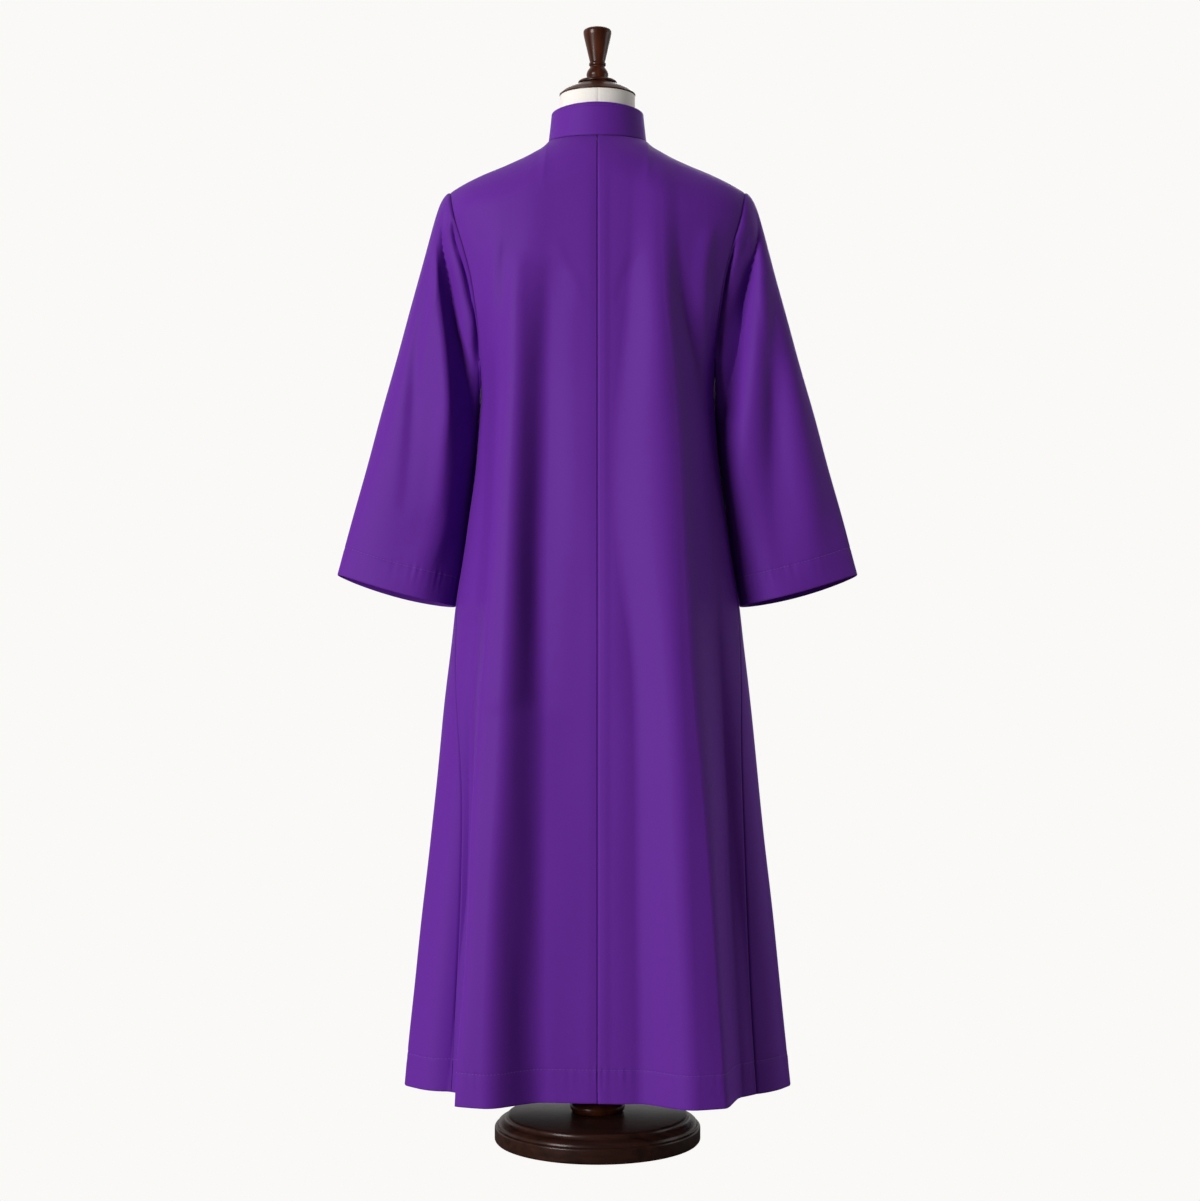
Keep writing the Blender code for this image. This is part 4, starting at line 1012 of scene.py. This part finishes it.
def turned(name, profile, material):
    """A round solid turned from an outline that starts and ends on the axis."""
    outline = rounded(profile)
    angle = np.arange(TURNED_SIDES)[:, None] * 2 * math.pi / TURNED_SIDES
    radius, height = outline[1:-1].T
    grid = np.stack([np.cos(angle) * radius, np.sin(angle) * radius, height + 0 * angle], -1)
    return round_solid(name, grid, outline[[0, -1], 1], material, sharp=35)


def make_form(material):
    """The torso and its neck, covered in linen with a seam down the centre back and front."""
    names = ("half_width", "back_depth", "front_depth")
    rings = []
    for z in np.concatenate([[0.7452, 0.748], np.linspace(0.752, 1.378, 96)]):
        rings.append((z, *(FORM.at(name, z) for name in names)))
    heights = RIDGE.values["height"][::-1]
    reaches = RIDGE.values["reach"][::-1]
    for z in np.linspace(1.382, 1.4515, 24):
        reach = np.interp(z + FORM_CLEARANCE, heights, reaches)
        depths = [SHOULDER_DEPTH.at(name, z) for name in names[1:]]
        blend = ease((z - 1.378) / 0.014)
        depths = [FORM.at(name, z) * (1 - blend) + d * blend for name, d in zip(names[1:], depths)]
        rings.append((z, reach, *depths))
    rings += [(z, *[NECK.at("radius", z)] * 3) for z in np.linspace(1.458, 1.5215, 22)]
    rings.append((1.5225, 0.0538, 0.0538, 0.0538))
    turn = np.arange(FORM_SIDES) * 2 * math.pi / FORM_SIDES
    grid = []
    for z, width, back, front in rings:
        x = width * np.sin(turn)
        wing = np.where(np.cos(turn) > 0, back, front) * np.abs(np.cos(turn))
        neck = np.sqrt(np.clip(NECK_RADIUS**2 - x * x, 0, None)) if z < 1.456 and z > 1.38 else 0
        depth = np.maximum(wing, neck)
        groove = 0.0007 * bell(x, 0.0012) if z > 0.75 else 0
        grid.append(np.stack([x, -np.sign(np.cos(turn)) * (depth - groove), z + 0 * x], -1))
    return round_solid("linen_form", np.stack(grid, 1), (rings[0][0], rings[-1][0]), material, sharp=50)


# Materials.


class Nodes:
    """Adds nodes to a tree and joins them."""

    def __init__(self, tree, shader=None):
        self.tree, self.shader = tree, shader

    def add(self, kind, inputs=None, **settings):
        node = self.tree.nodes.new(kind)
        for name, value in settings.items():
            setattr(node, name, value)
        for name, value in (inputs or {}).items():
            if isinstance(value, bpy.types.NodeSocket):
                self.tree.links.new(value, node.inputs[name])
            else:
                node.inputs[name].default_value = value
        return node

    def out(self, kind, inputs=None, output=0, **settings):
        return self.add(kind, inputs, **settings).outputs[output]

    def math(self, operation, *values):
        return self.out("ShaderNodeMath", dict(enumerate(values)), operation=operation)

    def times(self, *values):
        return self.math("MULTIPLY", *values)

    def plus(self, *values):
        return self.math("ADD", *values)

    def mix(self, share, first, second):
        return self.out("ShaderNodeMix", {0: share, 6: first, 7: second}, 2, data_type="RGBA")

    def place(self):
        return self.out("ShaderNodeTexCoord", output="Object")

    def axes(self, place):
        return self.add("ShaderNodeSeparateXYZ", {"Vector": place}).outputs

    def vector(self, operation, *values, **named):
        inputs = {**dict(enumerate(values)), **named}
        return self.out("ShaderNodeVectorMath", inputs, operation=operation)

    def noise(self, place, scale, detail, **more):
        inputs = {"Vector": place, "Scale": scale, "Detail": detail, **more}
        return self.add("ShaderNodeTexNoise", inputs).outputs

    def feed(self, title, output):
        """Joins an output to the material's shader."""
        self.tree.links.new(output, self.shader.inputs[title])

    def rough(self, share, spread, least):
        self.feed("Roughness", self.plus(self.times(share, spread), least))

    def relief(self, height, strength, distance):
        """Detail too fine to model."""
        inputs = {"Height": height, "Strength": strength, "Distance": distance}
        self.feed("Normal", self.out("ShaderNodeBump", inputs))


def new_group(name, inputs, outputs):
    """inputs: each socket's usual value by its name, after a vector that says the place."""
    tree = bpy.data.node_groups.new(name, "ShaderNodeTree")
    tree.interface.new_socket("Place", in_out="INPUT", socket_type="NodeSocketVector")
    for title, value in inputs.items():
        socket = tree.interface.new_socket(title, in_out="INPUT", socket_type="NodeSocketFloat")
        socket.default_value = value
    for title in outputs:
        tree.interface.new_socket(title, in_out="OUTPUT", socket_type="NodeSocketFloat")
    n = Nodes(tree)
    return n, n.add("NodeGroupInput").outputs


def weave_group():
    """Threads that cross over and under, with the unevenness of spun yarn."""
    usual = {"Thread": 0.0005, "Slant": 0.5, "Unevenness": 0.3}
    n, given = new_group("weave", usual, ("Height", "Shade"))
    axes = n.axes(given["Place"])
    warp, weft = (n.math("DIVIDE", axes[axis], given["Thread"]) for axis in "XY")
    slanted = n.plus(warp, n.times(weft, given["Slant"]))
    threads = []
    for value, half_wave, share in ((slanted, math.pi / 2, 0.65), (weft, math.pi, 0.35)):
        rib = n.math("ABSOLUTE", n.math("SINE", n.times(value, half_wave)))
        threads.append(n.times(rib, share))
    amounts = ((900, 60, 1), (60, 900, 1))
    yarns = [n.noise(n.vector("MULTIPLY", given["Place"], a), 1.0, 3)[0] for a in amounts]
    uneven = n.times(n.math("SUBTRACT", n.plus(*yarns), 1.0), given["Unevenness"])
    height = n.plus(n.plus(*threads), uneven)
    n.add("NodeGroupOutput", {"Height": height, "Shade": n.plus(uneven, 0.5)})
    return n.tree


def grain_group():
    """Long streaks of wood grain with fine pores."""
    n, given = new_group("grain", {"Fineness": 60.0, "Wave": 2.0}, ("Streak", "Pores"))
    bend = n.noise(given["Place"], 9.0, 2)[1]
    place = n.vector("ADD", given["Place"], n.vector("MULTIPLY", bend, (0.012, 0.012, 0.0)))
    scaled = n.vector("SCALE", place, Scale=given["Fineness"])
    broad = n.noise(scaled, 1.0, 5, Roughness=0.6)[0]
    streak = n.plus(n.times(n.math("SUBTRACT", broad, 0.5), given["Wave"]), 0.5)
    n.add("NodeGroupOutput", {"Streak": streak, "Pores": n.noise(scaled, 9.0, 2)[0]})
    return n.tree


WEAVE = weave_group()
GRAIN = grain_group()


def new_material(name, **values):
    made = bpy.data.materials.new(name)
    made.use_nodes = True
    shader = made.node_tree.nodes["Principled BSDF"]
    for title, value in values.items():
        shader.inputs[title.replace("_", " ")].default_value = value
    return made, Nodes(made.node_tree, shader)


def purple_cloth():
    sheen = {"Sheen_Weight": 0.15, "Sheen_Roughness": 0.45, "Sheen_Tint": (0.45, 0.12, 0.90, 1)}
    made, n = new_material("purple_cloth", **sheen, Specular_IOR_Level=0.08)
    place = n.out("ShaderNodeUVMap", uv_map="cloth")
    yarn = {"Place": place, "Thread": 0.00055, "Slant": 0.5, "Unevenness": 0.5}
    weave = n.add("ShaderNodeGroup", yarn, node_tree=WEAVE).outputs
    seam = n.out("ShaderNodeAttribute", output="Fac", attribute_name="seam")
    # The third colour is painted shade, laid along seams and stitching by the seam attribute.
    light, dark, seam_shade_colour = (0.142, 0.026, 0.345, 1), (0.116, 0.020, 0.285, 1), (0.046, 0.009, 0.125, 1)
    patches = n.times(n.noise(n.place(), 11.0, 3)[0], 0.16)
    colour = n.mix(patches, n.mix(weave["Shade"], dark, light), dark)
    n.feed("Base Color", n.mix(n.times(seam, 0.68), colour, seam_shade_colour))
    n.rough(weave["Shade"], 0.16, 0.50)
    n.relief(weave["Height"], 0.30, 0.00016)
    return made


def purple_thread():
    made, n = new_material("purple_thread", Sheen_Weight=0.2, Specular_IOR_Level=0.3)
    waves = {"Vector": n.place(), "Scale": 1600.0, "Distortion": 1.5}
    twist = n.out("ShaderNodeTexWave", waves, "Fac")
    n.feed("Base Color", n.mix(twist, (0.200, 0.060, 0.400, 1), (0.330, 0.130, 0.580, 1)))
    n.rough(twist, 0.15, 0.45)
    n.relief(twist, 0.4, 0.0001)
    return made


def linen_cover():
    """Linen with its seam line in shadow.  The weave is laid round the neck."""
    made, n = new_material("linen_cover", Specular_IOR_Level=0.2, Sheen_Weight=0.1, Roughness=0.85)
    axes = n.axes(n.place())
    around = n.times(n.math("ARCTAN2", axes["X"], axes["Y"]), 0.056)
    flat = n.out("ShaderNodeCombineXYZ", {"X": around, "Y": axes["Z"]})
    yarn = {"Place": flat, "Thread": 0.0009, "Slant": 0.0, "Unevenness": 0.9}
    weave = n.add("ShaderNodeGroup", yarn, node_tree=WEAVE).outputs
    colour = n.mix(weave["Shade"], (0.92, 0.86, 0.79, 1), (0.99, 0.955, 0.90, 1))
    from_seam = {"Value": n.math("ABSOLUTE", axes["X"]), "From Min": 0.0013, "From Max": 0.0004}
    shade = n.times(n.out("ShaderNodeMapRange", from_seam), 0.35)
    n.feed("Base Color", n.mix(shade, colour, (0.55, 0.45, 0.40, 1)))
    n.relief(weave["Height"], 0.5, 0.0003)
    return made


def dark_wood(name, stretch, polish, dark, pale):
    """stretch lays the grain along one axis; its streaks run from dark to pale."""
    made, n = new_material(name, Coat_Weight=polish, Coat_Roughness=0.20, Specular_IOR_Level=0.10)
    inputs = {"Place": n.vector("MULTIPLY", n.place(), stretch), "Fineness": 90.0, "Wave": 2.2}
    grain = n.add("ShaderNodeGroup", inputs, node_tree=GRAIN).outputs
    n.feed("Base Color", n.mix(grain["Streak"], dark, pale))
    n.rough(grain["Pores"], 0.2, 0.28)
    n.relief(grain["Pores"], 0.06, 0.0002)
    return made


def pole_metal():
    made, n = new_material("pole_metal", Metallic=1.0)
    noise = n.noise(n.vector("MULTIPLY", n.place(), (60, 60, 900)), 1.0, 4)[0]
    n.feed("Base Color", n.mix(noise, (0.36, 0.35, 0.34, 1), (0.55, 0.54, 0.53, 1)))
    n.rough(noise, 0.2, 0.25)
    return made


# Stage.


BACKGROUND = (0.956, 0.947, 0.930, 1)
FLOOR_RADIUS = 40
CAMERA_PLACE, LENS, SENSOR = (0.0036, -3.2, 0.786), 65.7, 36.0
# Lamps: name, place, height of what it points at, power and size.
LAMPS = (
    ("key", (-5.0, -5.1, 2.2), 0.80, 495, 2.4),
    ("side", (4.8, 0.1, 1.4), 0.80, 34, 2.0),
    ("rear", (0.6, 3.6, 2.4), 0.90, 50, 2.0),
)


def seen_and_lit(tree, seen, lit, output):
    """One shader for the camera's own rays, another for the light that bounces."""
    n = Nodes(tree)
    rays = n.out("ShaderNodeLightPath", output="Is Camera Ray")
    mixed = n.out("ShaderNodeMixShader", {0: rays, 1: lit.outputs[0], 2: seen.outputs[0]})
    tree.links.new(mixed, output.inputs["Surface"])


def make_floor():
    mesh = bpy.data.meshes.new("floor")
    turn = np.linspace(0, 2 * math.pi, 97)[:-1]
    ring = FLOOR_RADIUS * np.stack([np.cos(turn), np.sin(turn), 0 * turn], -1)
    mesh.from_pydata(ring.tolist(), [], [tuple(range(len(ring)))])
    floor = linked("floor", mesh)
    dull = {"Roughness": 0.9, "Specular_IOR_Level": 0.1}
    pale, n = new_material("pale_floor", Base_Color=(0.20, 0.198, 0.195, 1), **dull)
    glow = n.add("ShaderNodeEmission", {"Color": BACKGROUND, "Strength": 1.0})
    seen_and_lit(n.tree, glow, n.shader, n.tree.nodes["Material Output"])
    mesh.materials.append(pale)


def make_world():
    """Soft light, brighter from the pale backdrop behind the garment than from the front."""
    world = bpy.data.worlds.new("studio")
    world.use_nodes = True
    tree = world.node_tree
    n = Nodes(tree)
    lit = tree.nodes["Background"]
    lit.inputs["Color"].default_value = (1.0, 0.99, 0.975, 1)
    backwards = n.axes(n.out("ShaderNodeTexCoord", output="Generated"))["Y"]
    shares = {"From Min": -0.25, "From Max": 0.45, "To Min": 0.05, "To Max": 0.85}
    strength = n.out("ShaderNodeMapRange", {"Value": backwards, **shares})
    tree.links.new(strength, lit.inputs["Strength"])
    seen = n.add("ShaderNodeBackground", {"Color": BACKGROUND, "Strength": 1.0})
    seen_and_lit(tree, seen, lit, tree.nodes["World Output"])
    bpy.context.scene.world = world


def make_lamps():
    for name, place, aim, power, size in LAMPS:
        light = bpy.data.lights.new(name, "AREA")
        light.energy, light.size = power, size
        made = linked(name, light)
        made.location = place
        away = Vector(place) - Vector((0, 0, aim))
        made.rotation_euler = away.to_track_quat("Z", "Y").to_euler()


def make_camera():
    camera = bpy.data.cameras.new("camera")
    camera.sensor_width, camera.lens = SENSOR, LENS
    camera.clip_end = 200
    made = linked("camera", camera)
    made.location = CAMERA_PLACE
    made.rotation_euler = (math.pi / 2, 0, 0)
    bpy.context.scene.camera = made
    bpy.context.scene.view_settings.view_transform = "Standard"


def declare(piece, node):
    """Every piece rides on the one body; node is the solid that it stands for, if any."""
    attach(piece, "root")
    if node:
        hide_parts(node)


def main():
    make_floor()
    make_world()
    make_lamps()
    make_camera()
    cloth, linen, thread = purple_cloth(), linen_cover(), purple_thread()
    hem_lines = []
    for side, word in SIDES.items():
        edges = []
        for is_back, part, sheet in ((True, "back", BACK_SHEET), (False, "front", FRONT_SHEET)):
            piece, line, edge = make_panel(side, is_back, cloth)
            hem_lines.append((*line, False))
            edges.append(edge)
            declare(piece, f"{part}_{word}")
        for piece in make_allowances(side, edges, cloth):
            declare(piece, None)
        piece, line = make_sleeve(side, cloth)
        hem_lines.append((*line, True))
        declare(piece, f"sleeve_{word}")
    piece, line = make_collar(cloth)
    declare(piece, "collar")
    for name, lines, sizes in (
        ("hem_stitching", hem_lines, HEM_STITCH),
        ("collar_stitching", [(*line, False)], COLLAR_STITCH),
    ):
        declare(make_stitching(name, lines, sizes, thread), None)
    piece = make_form(linen)
    declare(piece, "form_torso")
    upright = dark_wood("dark_wood_upright", (1, 1, 0.12), 0.24, *UPRIGHT_COLOURS)
    # The base's wood is darker partly for painted shade under the skirt.
    level = dark_wood("dark_wood_level_with_shade", (0.12, 1, 1), 0.15, *LEVEL_COLOURS_WITH_SHADE)
    for name, node, profile, material, slot in (
        ("wood_cap", "neck_cap", CAP, upright, "dark_wood"),
        ("wood_finial", "finial", FINIAL, upright, "dark_wood"),
        ("wood_base", "base", BASE, level, "dark_wood"),
        ("wood_hub", "base_hub", HUB, upright, "dark_wood"),
        ("metal_pole", "pole", POLE, pole_metal(), "pole_metal"),
    ):
        declare(turned(name, profile, material), node)


main()
